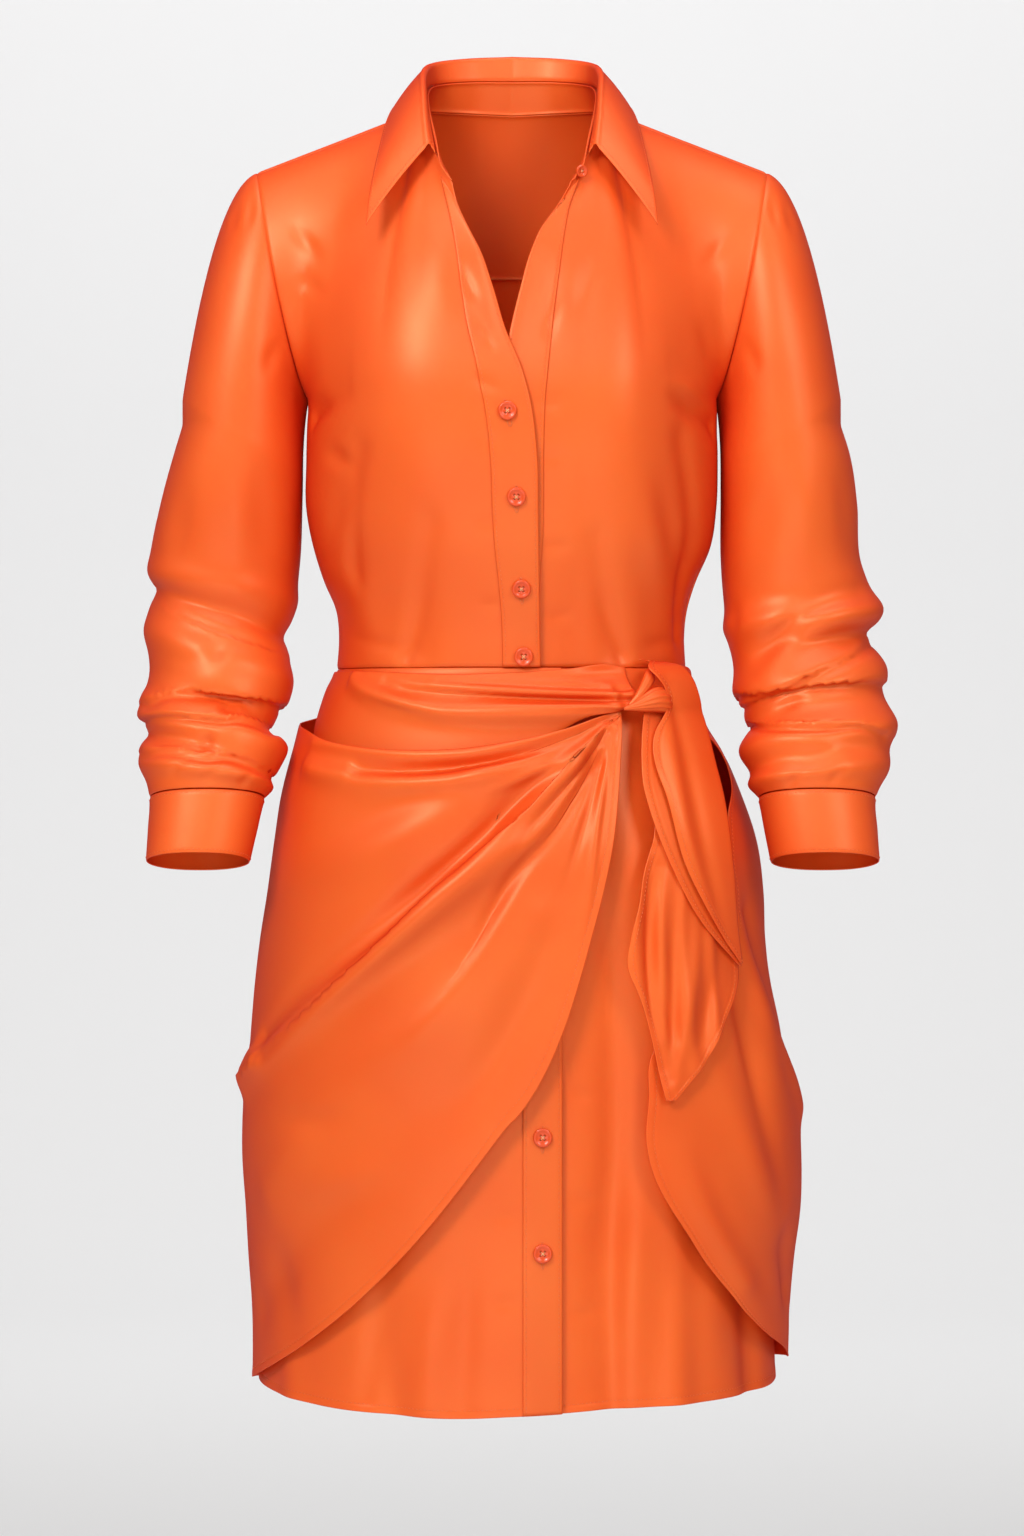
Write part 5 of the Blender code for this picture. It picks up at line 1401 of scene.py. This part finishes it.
# %% Wrap sheets
WRAP_RIGHT_CREASES = [
    (-1.75, -3.85, -2.1, 4, 6, 1.5, (-104.6, -473.7), (-29.8, -469.5), (20.8, -457), (69.3, -435.6)),
    (2.62, 4.2, 1.4, 6, 6, 0, (-141.4, -471.6), (-60.3, -484.1), (20.8, -464), (65.1, -439)),
    (2.62, 3.5, 1.4, 5, 5, 0, (-138.6, -452.9), (-77.6, -463.3), (-8.3, -460.5), (61, -433.5)),
    (-3.85, -7.35, -2.8, 9, 5, 0, (-176, -672.6), (-141.4, -633.8), (-100.5, -595.6), (-60.3, -557.5),
     (-29.8, -532.6), (0.7, -495.2), (33.3, -468.1), (63.8, -442.5)),
    (5.25, 10.5, 2.45, 4.5, 17, 3.5, (-182.3, -676), (-161.5, -654.5), (-121.3, -615.7), (-80.4, -581.1),
     (-39.5, -543), (0.7, -508.3), (43.7, -459.8), (65.1, -443.2)),
    (0, -4.9, -3.15, 5, 7, 1, (-60.3, -644.1), (-43.7, -622), (-25.6, -593.6), (-13.2, -569.3), (0.7, -545.1),
     (31.2, -512.5), (63.8, -452.9)),
    (0, 2.62, 1.75, 7, 9, 0, (-91.5, -694), (-27.7, -604), (-7.6, -566.5), (22.9, -522.2), (61, -454.3)),
    (0, 3.5, 2.1, 20, 18, 0, (-152.5, -567.9), (-105.3, -536), (-49.9, -497.2), (12.5, -464)),
    (0, -2.1, -1.4, 12, 12, 0, (-146.9, -527.7), (-98.4, -508.3), (-43, -482)),
    (0, -2.27, -2.45, 3, 3, 0.6, (-4.2, -536), (24.9, -497.2), (50.6, -466.7), (66.5, -444.6)),
    (0, 2.1, 1.75, 3.5, 3.5, 0, (-29.1, -493.1), (12.5, -476.4), (43.7, -459.8), (65.1, -442.5)),
    (0, -2.1, -2.45, 4, 4, 0, (33.3, -565.8), (49.9, -513.9), (61.7, -472.3), (67.9, -448.7)),
    (0, 2.45, 2.1, 4, 4, 0, (45.7, -604), (56.8, -541.6), (64.4, -486.1), (70, -450.1)),
    (0, -1.75, -2.1, 3, 3, 0, (54.1, -565.8), (62.4, -513.9), (68.6, -465.4), (71.4, -448)),
    (0, 1.93, 1.4, 16, 18, 0, (-146.9, -701), (-77.6, -662.9), (-29.1, -631.7), (12.5, -576.2)),
    (0, -3.15, -1.05, 14, 14, 0, (-70.7, -742.6), (-29.1, -701), (5.5, -645.5), (37.4, -562.4)),
    (0, 2.62, 0.53, 14, 14, 0, (-160.8, -756.4), (-119.2, -763.3), (-63.8, -728.7)),
    (0, -2.45, 0, 10, 10, 0, (-173.2, -714.8), (-146.9, -721.8), (-105.3, -709.3)),
    (0, -2.62, -0.7, 9, 9, 0, (-170.5, -791.1), (-160.8, -832.6), (-153.8, -874.2)),
]
WRAP_LEFT_CREASES = [
    (2.03, 4.05, 0.68, 7, 9, 0, (156.6, -579.7), (164.2, -604), (175.3, -631.7), (182.3, -666.3),
     (189.2, -694), (198.2, -728.7)),
    (-2.7, -4.32, -0.81, 7, 6, 0, (149.7, -584.6), (156.6, -621.3), (166.3, -666.3), (177.4, -714.8),
     (191.3, -763.3)),
    (0, -2.16, -0.81, 9, 9, 0, (123.4, -707.9), (138.6, -756.4), (164.9, -813.2), (191.3, -860.4)),
    (0, 2.43, 0.81, 9, 9, 0, (110.9, -721.8), (123.4, -759.9), (148.3, -804.9), (174.6, -846.5)),
    (0, 2.03, 0.41, 12, 12, 0, (151.1, -694), (169.1, -742.6), (189.9, -798)),
    (0, -1.62, 0, 8, 8, 0, (159.4, -506.9), (166.3, -548.5), (174.6, -583.2)),
    (0, -1.89, -0.54, 5, 5, 0, (130.3, -423.8), (141.4, -440.4), (153.8, -459.8)),
]
BAND_CREASES = [
    (0, -1.61, -1.84, 2.2, 2.6, 0.5, (-97, -404.4), (-49.9, -409.9), (5.5, -412.7), (83.2, -414.8)),
    (0.57, 1.61, 1.84, 3.4, 3.6, 0, (-56.8, -410.6), (-8.3, -415.5), (40.2, -417.5), (83.2, -418.9)),
    (-0.57, -2.76, -2.76, 1.8, 1.8, 0.5, (-77.6, -415.5), (-22.2, -420.3), (33.3, -422.4), (84.5, -423.1)),
    (0.57, 2.07, 2.53, 4, 4.2, 0, (-63.8, -421.7), (-8.3, -427.2), (40.2, -427.9), (81.8, -427.9)),
    (0, -1.03, -1.15, 1.2, 1.2, 0, (-29.1, -414.1), (26.3, -415.5), (80.4, -416.8)),
    (0, -0.92, -1.15, 1.2, 1.2, 0, (-22.2, -425.2), (26.3, -425.9), (80.4, -426.5)),
    (0, -0.92, -1.15, 1.3, 1.3, 0, (-29.1, -430.7), (26.3, -431.4), (77.6, -430)),
    (0, -1.38, 0, 6, 6, 0, (40.2, -404.4), (61, -404.4), (83.2, -401.6)),
    (0, 1.84, 0.46, 5, 5, 0, (-115.7, -408.5), (-84.5, -423.8), (-49.9, -432.1)),
    (0, -1.61, 0, 4, 4, 0, (-112.3, -418.2), (-83.2, -429.3), (-49.9, -434.9)),
]
edges = dict(start="join", end="seam", top="fold", bottom="hem")
make_sheet("wrap_right", wrinkled(wrap_right, WRAP_RIGHT_CREASES, 1), (0, 1), (0, 1), 1, edges, step=3.3)
edges = dict(start="hem", end="seam", top="seam", bottom="fold")
make_sheet("wrap_left", wrinkled(wrap_left, WRAP_LEFT_CREASES, -1), (0, 1), (0, 1), -1, edges, step=4.0)
band = wrinkled(tie_band, BAND_CREASES, -1)
make_sheet("tie_band", band, (-SIDE_EDGE, 36), (0, 1), -1, dict(start="seam"), step=2.2)

# %% [markdown]
# ## The hanging tails
# The upper tail comes over the knot from behind, stands out there and hangs flat below. It is folded
# double, so a second layer shows along its left edge. The under tail hangs lower and ends in a point.

# %% Tails
TAIL_FRONT = Table(
    "height left right lift",
    [
        (-396.6, 93.5, 103.5, 8), (-399.4, 89.5, 108.5, 12.5), (-404.4, 87.5, 111, 16),
        (-412.7, 91.5, 114.5, 18), (-421, 97.5, 118, 17.5), (-430, 100.3, 122, 15.5),
        (-436.3, 100, 124.7, 13.5), (-442.5, 97.7, 127.5, 12.6),
        (-448.7, 95, 129.6, 12.2), (-458.4, 93.6, 132.4, 12), (-466.7, 94.4, 134.4, 12),
        (-493, 102.6, 140.7, 12.5), (-541.6, 116.4, 147.6, 12.2), (-590, 140.7, 151.8, 11.5),
        (-609.5, 153, 154.9, 10.5),
    ],
)
TAIL_LAYER = Table(
    "height left right lift",
    [
        (-432, 89.5, 106, 7.5), (-449, 87.8, 108, 8.2), (-465.4, 87.3, 112, 8.6), (-486.1, 88.7, 118, 9),
        (-500, 92.2, 124, 9.2), (-540.2, 107.4, 141, 9.2), (-583.2, 130.3, 150.4, 9.2),
        (-611, 153.4, 155.4, 9.0),
    ],
)
TAIL_FRONT_CREASES = [
    (1.44, 2.4, 0.72, 5, 7, 0, (101.2, -407.1), (108.1, -430.7), (113.7, -472.3), (123.4, -527.7),
     (145.5, -593.6)),
    (-0.72, -1.68, -0.6, 5, 5, 0, (109.5, -416.8), (119.2, -444.6), (127.5, -486.1), (137.2, -534.7),
     (151.1, -593.6)),
    (-0.48, -1.68, -0.72, 5, 5, 0, (99.1, -452.9), (105.3, -493.1), (122, -545.1), (145.5, -595.6)),
]
TAIL_UNDER_CREASES = [
    (-1.2, -3.84, -1.2, 4, 4, 0, (98.4, -527.7), (95.6, -583.2), (97, -631.7), (105.3, -680.2)),
    (1.2, 3.12, 0.96, 5, 5, 0, (108.1, -527.7), (103.3, -565.8), (103.3, -604), (106.7, -659.4)),
    (-1.2, -3.12, -0.96, 4, 5, 0, (117.1, -541.6), (114.3, -583.2), (113.7, -631.7), (110.9, -687.1)),
    (1.2, 3.12, 0.96, 6, 6, 0, (128.9, -555.4), (128.2, -604), (122, -652.5), (112.3, -694)),
    (0, -2.16, -0.96, 5, 5, 0, (141.4, -597), (139.3, -631.7), (133.1, -662.9)),
    (1.2, 2.16, 0.72, 4, 4, 0, (89.4, -527.7), (87.3, -565.8), (84.5, -604), (91.5, -638.6)),
]
tail_edges = dict(start="hem", end="fold", top="join", bottom="fold")
front = wrinkled(hanging(TAIL_FRONT, []), TAIL_FRONT_CREASES, -1)
make_sheet("tail_upper", front, (0, 1), (0, 1), -1, tail_edges, step=2.0)
layer = hanging(TAIL_LAYER, [])
make_sheet("tail_upper", layer, (0, 1), (0, 1), -1, tail_edges, step=2.0, name="tail_layer")
under = wrinkled(hanging(TAIL_UNDER, UNDER_FOLDS), TAIL_UNDER_CREASES, -1)
make_sheet("tail_under", under, (0, 1), (0, 1), -1, dict(tail_edges, end="hem"), step=2.4)

# %% [markdown]
# ## The knot
# Two turns of gathered cloth make it. One comes up from the pinch beside the tie and goes under the upper
# tail, and the other wraps round it from the side. Each is a soft flattened tube along a short path, with
# ridges that run along it, as gathered cloth has, and ends that narrow and go under the neighbouring
# cloth.

# %% Knot
TURN_ROW = "x height lift wide thick"
KNOT_TURNS = {
    "knot_rise": [
        (79, -430, 8, 1.5, 1.2), (83.5, -425, 11, 3.0, 2.6), (87.5, -417, 13, 4.2, 3.4),
        (90.5, -410, 12, 4.6, 3.0),
        (93.5, -405, 8, 3.6, 1.8),
    ],
    "knot_wrap": [
        (76, -431.5, 7, 1.2, 1.0), (81.5, -431, 9.5, 3.2, 3.0), (87.5, -429.5, 12, 6.4, 5.0),
        (94, -427.5, 13, 9.2, 6.0), (100.5, -427, 12, 10, 5.5), (107, -427, 8, 8, 2.5),
    ],
}
RIDGES = {"knot_rise": 5, "knot_wrap": 7}


def knot_turn(name):
    table = np.array(KNOT_TURNS[name])
    key = np.linspace(0, 1, len(table))
    line = Table("key " + TURN_ROW, np.column_stack([key, table]).tolist())

    def surface(way, down):
        x, height, wide, thick = (line.at(part, down) for part in ("x", "height", "wide", "thick"))
        step = 0.01
        places = []
        for at in (down - step, down + step, down):
            x_at, height_at, lift_at = (line.at(part, at) for part in ("x", "height", "lift"))
            places.append(moved_out(WRAP, turn_at(WRAP, x_at, height_at), height_at, lift_at))
        middle = places[2]
        turn = turn_at(WRAP, x, height)
        out = unit(moved_out(WRAP, turn, height, 1.0) - moved_out(WRAP, turn, height, 0.0))
        along = unit(places[1] - places[0])
        across = unit(np.cross(along, out))
        angle = np.pi * way
        ridge = 1 + 0.07 * np.cos(RIDGES[name] * 2 * angle + 3 * down) * np.clip(np.sin(angle), 0, 1)
        side, front = np.cos(angle) * wide * ridge, np.sin(angle) * thick * ridge
        return middle + across * side[..., None] + out * front[..., None]

    return surface


for name in KNOT_TURNS:
    ends = dict(start="join", end="join", top="join", bottom="join")
    make_sheet("knot", knot_turn(name), (0, 2), (0, 1), -1, ends, tube=True, step=1.0, name=name)

# %% [markdown]
# ## Buttons
# A dress button is turned from a blank: a flat back, a rounded rim and a dished face with four holes. The
# profile is spun round, the holes are cut by a Boolean, and two pale threads cross between them.

# %% Buttons
BUTTON_ACROSS = 13.6
BUTTON_THICK = 2.4
COLLAR_BUTTON_ACROSS = 9.0
COLLAR_BUTTON_AIM = (0.45, -0.88, -0.15)  # the way the button on the stand's front end faces
BODICE_BUTTONS = (-221.0, -281.0, -345.0)  # heights
LOW_BUTTON = -393.0  # the lowest one, at the edge of the waist band
SKIRT_BUTTONS = (-730.0, -811.0)
PROFILE = [  # shares of the radius and of the thickness
    (0.0, 0.62), (0.5, 0.62), (0.62, 0.7), (0.72, 0.95), (0.84, 1.0), (0.95, 0.85), (1.0, 0.5), (0.95, 0.12),
    (0.86, 0.0), (0.0, 0.0),
]
HOLE_OUT = 0.2  # of the radius, from the middle along both axes
HOLE_ACROSS = 0.105


def gloss_material(name, colour):
    material, nodes, links = new_material(name)
    shader = nodes["Principled BSDF"]
    shader.inputs["Roughness"].default_value = 0.28
    shader.inputs["Coat Weight"].default_value = 0.12
    shader.inputs["Coat Roughness"].default_value = 0.12
    place = add(nodes, "TexCoord")
    marbled = add(nodes, "TexNoise", Scale=420.0, Detail=2.0)
    links.new(place.outputs["Object"], marbled.inputs["Vector"])
    tone = add(nodes, "ValToRGB")
    tone.color_ramp.elements[0].color = (colour[0] * 0.9, colour[1] * 0.8, colour[2] * 0.8, 1.0)
    tone.color_ramp.elements[1].color = (*colour, 1.0)
    links.new(marbled.outputs["Fac"], tone.inputs["Fac"])
    links.new(tone.outputs["Color"], shader.inputs["Base Color"])
    return material


gloss = gloss_material("orange_gloss", (0.85, 0.085, 0.008))


def standing(middle, outward):
    """The matrix of a thing that stands on a point and faces outward."""
    turned = Vector(unit(np.asarray(outward, float)).tolist()).to_track_quat("Z", "Y").to_matrix().to_4x4()
    return Matrix.Translation((np.asarray(middle) / 1000).tolist()) @ turned


def object_from(name, shape, material, slot_name):
    mesh = bpy.data.meshes.new(name)
    shape.to_mesh(mesh)
    shape.free()
    mesh.materials.append(material)
    piece = bpy.data.objects.new(name, mesh)
    bpy.context.scene.collection.objects.link(piece)
    if slot_name:
        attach(piece, "root")
    return piece


def make_button(node, middle, outward, gap=0.6, across=BUTTON_ACROSS):
    """A button whose back is a small gap off middle, with its thread cross."""
    radius, thick = across / 2000, BUTTON_THICK / 1000
    place = standing(middle + unit(np.asarray(outward, float)) * gap, outward)
    disc = bmesh.new()
    line = [disc.verts.new((share * radius, 0, tall * thick)) for share, tall in PROFILE]
    edges = [disc.edges.new(pair) for pair in zip(line, line[1:])]
    axis, middle_at, round_angle = (0, 0, 1), (0, 0, 0), 2 * np.pi
    bmesh.ops.spin(
        disc, geom=line + edges, axis=axis, cent=middle_at, steps=28, angle=round_angle, use_merge=True
    )
    bmesh.ops.remove_doubles(disc, verts=disc.verts, dist=1e-6)
    bmesh.ops.recalc_face_normals(disc, faces=disc.faces)
    piece = object_from(f"turned_{node}", disc, gloss, "orange_button")
    holes = bmesh.new()
    for x, y in ((-1, -1), (-1, 1), (1, -1), (1, 1)):
        at = Matrix.Translation((x * HOLE_OUT * radius, y * HOLE_OUT * radius, thick / 2))
        size = HOLE_ACROSS * radius
        bmesh.ops.create_cone(
            holes, cap_ends=True, segments=12, radius1=size, radius2=size, depth=thick * 3, matrix=at
        )
    cutter = object_from(f"holes_{node}", holes, gloss, None)
    cut = piece.modifiers.new("holes", "BOOLEAN")
    cut.operation = "DIFFERENCE"
    cut.object = cutter
    graph = bpy.context.evaluated_depsgraph_get()
    drilled = bpy.data.meshes.new_from_object(piece.evaluated_get(graph))
    piece.modifiers.clear()
    piece.data = drilled
    bpy.data.objects.remove(cutter)
    drilled.transform(place)
    drilled.shade_smooth()
    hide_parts(node)
    cross = bmesh.new()
    for slant in (np.pi / 4, -np.pi / 4):
        lie = Matrix.Translation((0, 0, thick * 0.66)) @ Matrix.Rotation(slant, 4, "Z")
        long, thin = radius * HOLE_OUT * 1.5, radius * 0.075
        stretched = Matrix.Diagonal((long, thin, thin, 1))
        bmesh.ops.create_uvsphere(
            cross, u_segments=10, v_segments=8, radius=1.0, matrix=place @ lie @ stretched
        )
    knot_thread = object_from(f"cross_{node}", cross, pale_thread, "orange_satin")
    knot_thread.data.shade_smooth()
    print(f"{piece.name}: {len(drilled.polygons)} faces, {across} mm across")


for number, height in enumerate(BODICE_BUTTONS + (LOW_BUTTON,), start=1):
    climb = (height - UNDERARM) / (UNDERARM - WAIST)
    gap = 0.8 if height == LOW_BUTTON else 0.5
    make_button(f"bodice_button_{number}", *spot(placket(-1), np.float64(0.5), np.float64(climb), -1), gap)
for number, height in enumerate(SKIRT_BUTTONS, start=1):
    down = (height - WAIST) / (HEM_BOTTOM - WAIST)
    make_button(f"skirt_button_{number}", *spot(skirt_band, np.float64(0.5), np.float64(down), 1))
stand_end = collar_stand(np.float64(1), np.float64(0.6))
make_button("collar_button", stand_end, COLLAR_BUTTON_AIM, 0.7, COLLAR_BUTTON_ACROSS)

# %% [markdown]
# ## Top stitching and buttonholes
# The collar, the stand, the bands, the cuffs and every hem have a row of stitches. A buttonhole is a slit
# with close stitches round it, and here it is a cord of them that shows above and below its button.

# %% Top stitching
CLOSE = 1.9  # rows that hold a seam lie this near it
rows = {
    "collar_fall": [("bottom", 4.6), ("start", 4.6), ("end", 4.6)],
    "collar_stand": [("top", CLOSE), ("bottom", CLOSE)],
    "placket_outer": [("start", 2.4), ("end", 2.4)],
    "placket_under": [("start", 2.4), ("end", 2.4)],
    "cuff_right": [("top", 2.4), ("bottom", 2.4)],
    "cuff_left": [("top", 2.4), ("bottom", 2.4)],
    "skirt_front_right": [("bottom", HEM_DEPTH)],
    "skirt_front_left": [("bottom", HEM_DEPTH)],
    "skirt_back": [("bottom", HEM_DEPTH)],
    "skirt_placket": [("start", 2.4), ("end", 2.4)],
    "wrap_right": [("bottom", HEM_DEPTH)],
    "wrap_left": [("start", HEM_DEPTH)],
    "tail_upper": [("start", 4.0)],
    "tail_layer": [("start", 4.0)],
    "tail_under": [("start", 4.0), ("end", 4.0)],
    "back_yoke": [("top", CLOSE)],
}
for node, edges in rows.items():
    sew(f"stitches_{node}", [row_beside(node, edge, distance) for edge, distance in edges], node)

# %% Buttonholes
HOLE_HALF = 9.2  # half the length of a buttonhole
HOLE_WIDE = 0.9


def buttonhole(name, surface, facing, across_mm, v_of, height, on):
    """A loop of close stitches round a slit in the middle of a band."""
    turn = np.linspace(0, 2 * np.pi, 41)
    up = height + HOLE_HALF * np.cos(turn)
    across = 0.5 + HOLE_WIDE / across_mm * np.sin(turn).clip(-0.7, 0.7) / 0.7
    points, normals = spot(surface, across, v_of(up), facing)
    sew(name, [(points + normals * 0.1, normals)], on, pitch=0.75)


def climb_of(height):
    return (height - UNDERARM) / (UNDERARM - WAIST)


def down_of(height):
    return (height - WAIST) / (HEM_BOTTOM - WAIST)


front_band = wrinkled(placket(-1), BODICE_CREASES[-1], -1)
for number, height in enumerate(BODICE_BUTTONS, start=1):
    buttonhole(f"buttonhole_{number}", front_band, -1, 24, climb_of, height - 1.5, "placket_outer")
low_band = wrinkled(skirt_band, SKIRT_CREASES, 1)
for number, height in enumerate(SKIRT_BUTTONS, start=1):
    buttonhole(f"skirt_buttonhole_{number}", low_band, 1, 27, down_of, height - 1.5, "skirt_placket")

# %% [markdown]
# ## What each sheet was cut to
# The mesh of a sheet is as long and wide as its cloth, so its rows and columns give the size of the
# rectangle it was cut from, and its faces give the flat area.

HELD = {
    "back_yoke": ("draped", ["satin_bodice_back"]),
    "bodice_back": ("draped", ["satin_back_yoke"]),
    "bodice_front_right": ("draped", ["satin_back_yoke"]),
    "bodice_front_left": ("draped", ["satin_back_yoke"]),
    "placket_outer": ("laid", ["satin_bodice_front_right"]),
    "placket_under": ("laid", ["satin_bodice_front_left"]),
    "collar_stand": ("folded", ["satin_back_yoke"]),
    "collar_fall": ("folded", ["satin_collar_stand"]),
    "sleeve_right": ("draped", ["satin_bodice_front_right"]),
    "sleeve_left": ("draped", ["satin_bodice_front_left"]),
    "cuff_right": ("folded", ["satin_sleeve_right"]),
    "cuff_left": ("folded", ["satin_sleeve_left"]),
    "skirt_front_right": ("hung", ["satin_bodice_front_right"]),
    "skirt_front_left": ("hung", ["satin_bodice_front_left"]),
    "skirt_back": ("hung", ["satin_bodice_back"]),
    "skirt_placket": ("laid", ["satin_skirt_front_right"]),
    "wrap_right": ("gathered", ["satin_skirt_front_right"]),
    "wrap_left": ("draped", ["satin_skirt_front_left"]),
    "tie_band": ("gathered", ["satin_skirt_front_right"]),
    "tail_upper": ("hung", ["satin_knot_rise"]),
    "tail_layer": ("hung", ["satin_tail_upper"]),
    "tail_under": ("hung", ["satin_knot_wrap"]),
    "knot_rise": ("gathered", ["satin_tie_band"]),
    "knot_wrap": ("gathered", ["satin_tie_band"]),
}
for name, (held, rests_on) in HELD.items():
    sheet = sheets[name]
    width = sheet["distances"]["start"][-1].max() / 1000
    length = sheet["distances"]["top"][:, -1].max() / 1000
    width, length = max(width, 0.011), max(length, 0.011)
print("declared:", len(HELD), "sheets")

# %% [markdown]
# ## Camera, floor and light
# The dress is seen straight from the front through a long lens. A pale sheet behind and below it curves
# up like a studio roll, and broad soft lights stand in front, so that the satin shows wide highlights and
# darker sides.

# %% Camera
scene = bpy.context.scene
camera_data = bpy.data.cameras.new("camera")
camera_data.lens = 130.2
camera_data.sensor_width = 36.0
camera = bpy.data.objects.new("camera", camera_data)
camera.location = (0.0, -4.0, -0.4709)
camera.rotation_euler = (np.pi / 2, 0.0, 0.0)
scene.collection.objects.link(camera)
scene.camera = camera

# %% Floor
FLOOR = -1.35
roll = bmesh.new()
bend = np.linspace(0, np.pi / 2, 13)
profile = [(-9.0, FLOOR)]
profile += [(5.0 + 1.5 * np.sin(angle), FLOOR + 1.5 - 1.5 * np.cos(angle)) for angle in bend]
profile += [(6.5, 8.0)]
line = [roll.verts.new((-9.0, y, z)) for y, z in profile]
edges = [roll.edges.new(pair) for pair in zip(line, line[1:])]
swept = bmesh.ops.extrude_edge_only(roll, edges=edges)
new_verts = [part for part in swept["geom"] if isinstance(part, bmesh.types.BMVert)]
bmesh.ops.translate(roll, verts=new_verts, vec=(18.0, 0.0, 0.0))
bmesh.ops.recalc_face_normals(roll, faces=roll.faces)
floor_mesh = bpy.data.meshes.new("studio_roll")
roll.to_mesh(floor_mesh)
roll.free()
floor_mesh.shade_smooth()
floor = bpy.data.objects.new("studio_roll", floor_mesh)
scene.collection.objects.link(floor)
paper, paper_nodes, _ = new_material("pale_paper")
paper_nodes["Principled BSDF"].inputs["Base Color"].default_value = (0.83, 0.835, 0.845, 1.0)
paper_nodes["Principled BSDF"].inputs["Roughness"].default_value = 0.9
floor_mesh.materials.append(paper)

# %% Light
world = bpy.data.worlds.new("studio")
scene.world = world
world.use_nodes = True
world.node_tree.nodes["Background"].inputs["Color"].default_value = (1.0, 0.95, 0.9, 1.0)
world.node_tree.nodes["Background"].inputs["Strength"].default_value = 0.3


def soft_light(name, place, aim, size, power):
    data = bpy.data.lights.new(name, "AREA")
    data.shape = "RECTANGLE"
    data.size, data.size_y = size
    data.energy = power
    light = bpy.data.objects.new(name, data)
    light.location = place
    light.rotation_euler = (Vector(aim) - Vector(place)).to_track_quat("-Z", "Y").to_euler()
    scene.collection.objects.link(light)


soft_light("key", (-1.2, -2.3, 1.3), (0, 0, -0.35), (0.9, 0.9), 50)
soft_light("second", (1.5, -2.3, 0.9), (0, 0, -0.4), (0.8, 1.0), 24)
soft_light("low", (-0.3, -3.2, -0.9), (0, 0, -0.5), (1.6, 0.8), 8)
soft_light("top", (0.1, -0.5, 1.8), (0, 0, -0.4), (1.4, 1.0), 22)
soft_light("backdrop", (0.0, 3.4, 2.6), (0, 6.5, -0.6), (6.0, 1.5), 122)
scene.view_settings.view_transform = "Standard"
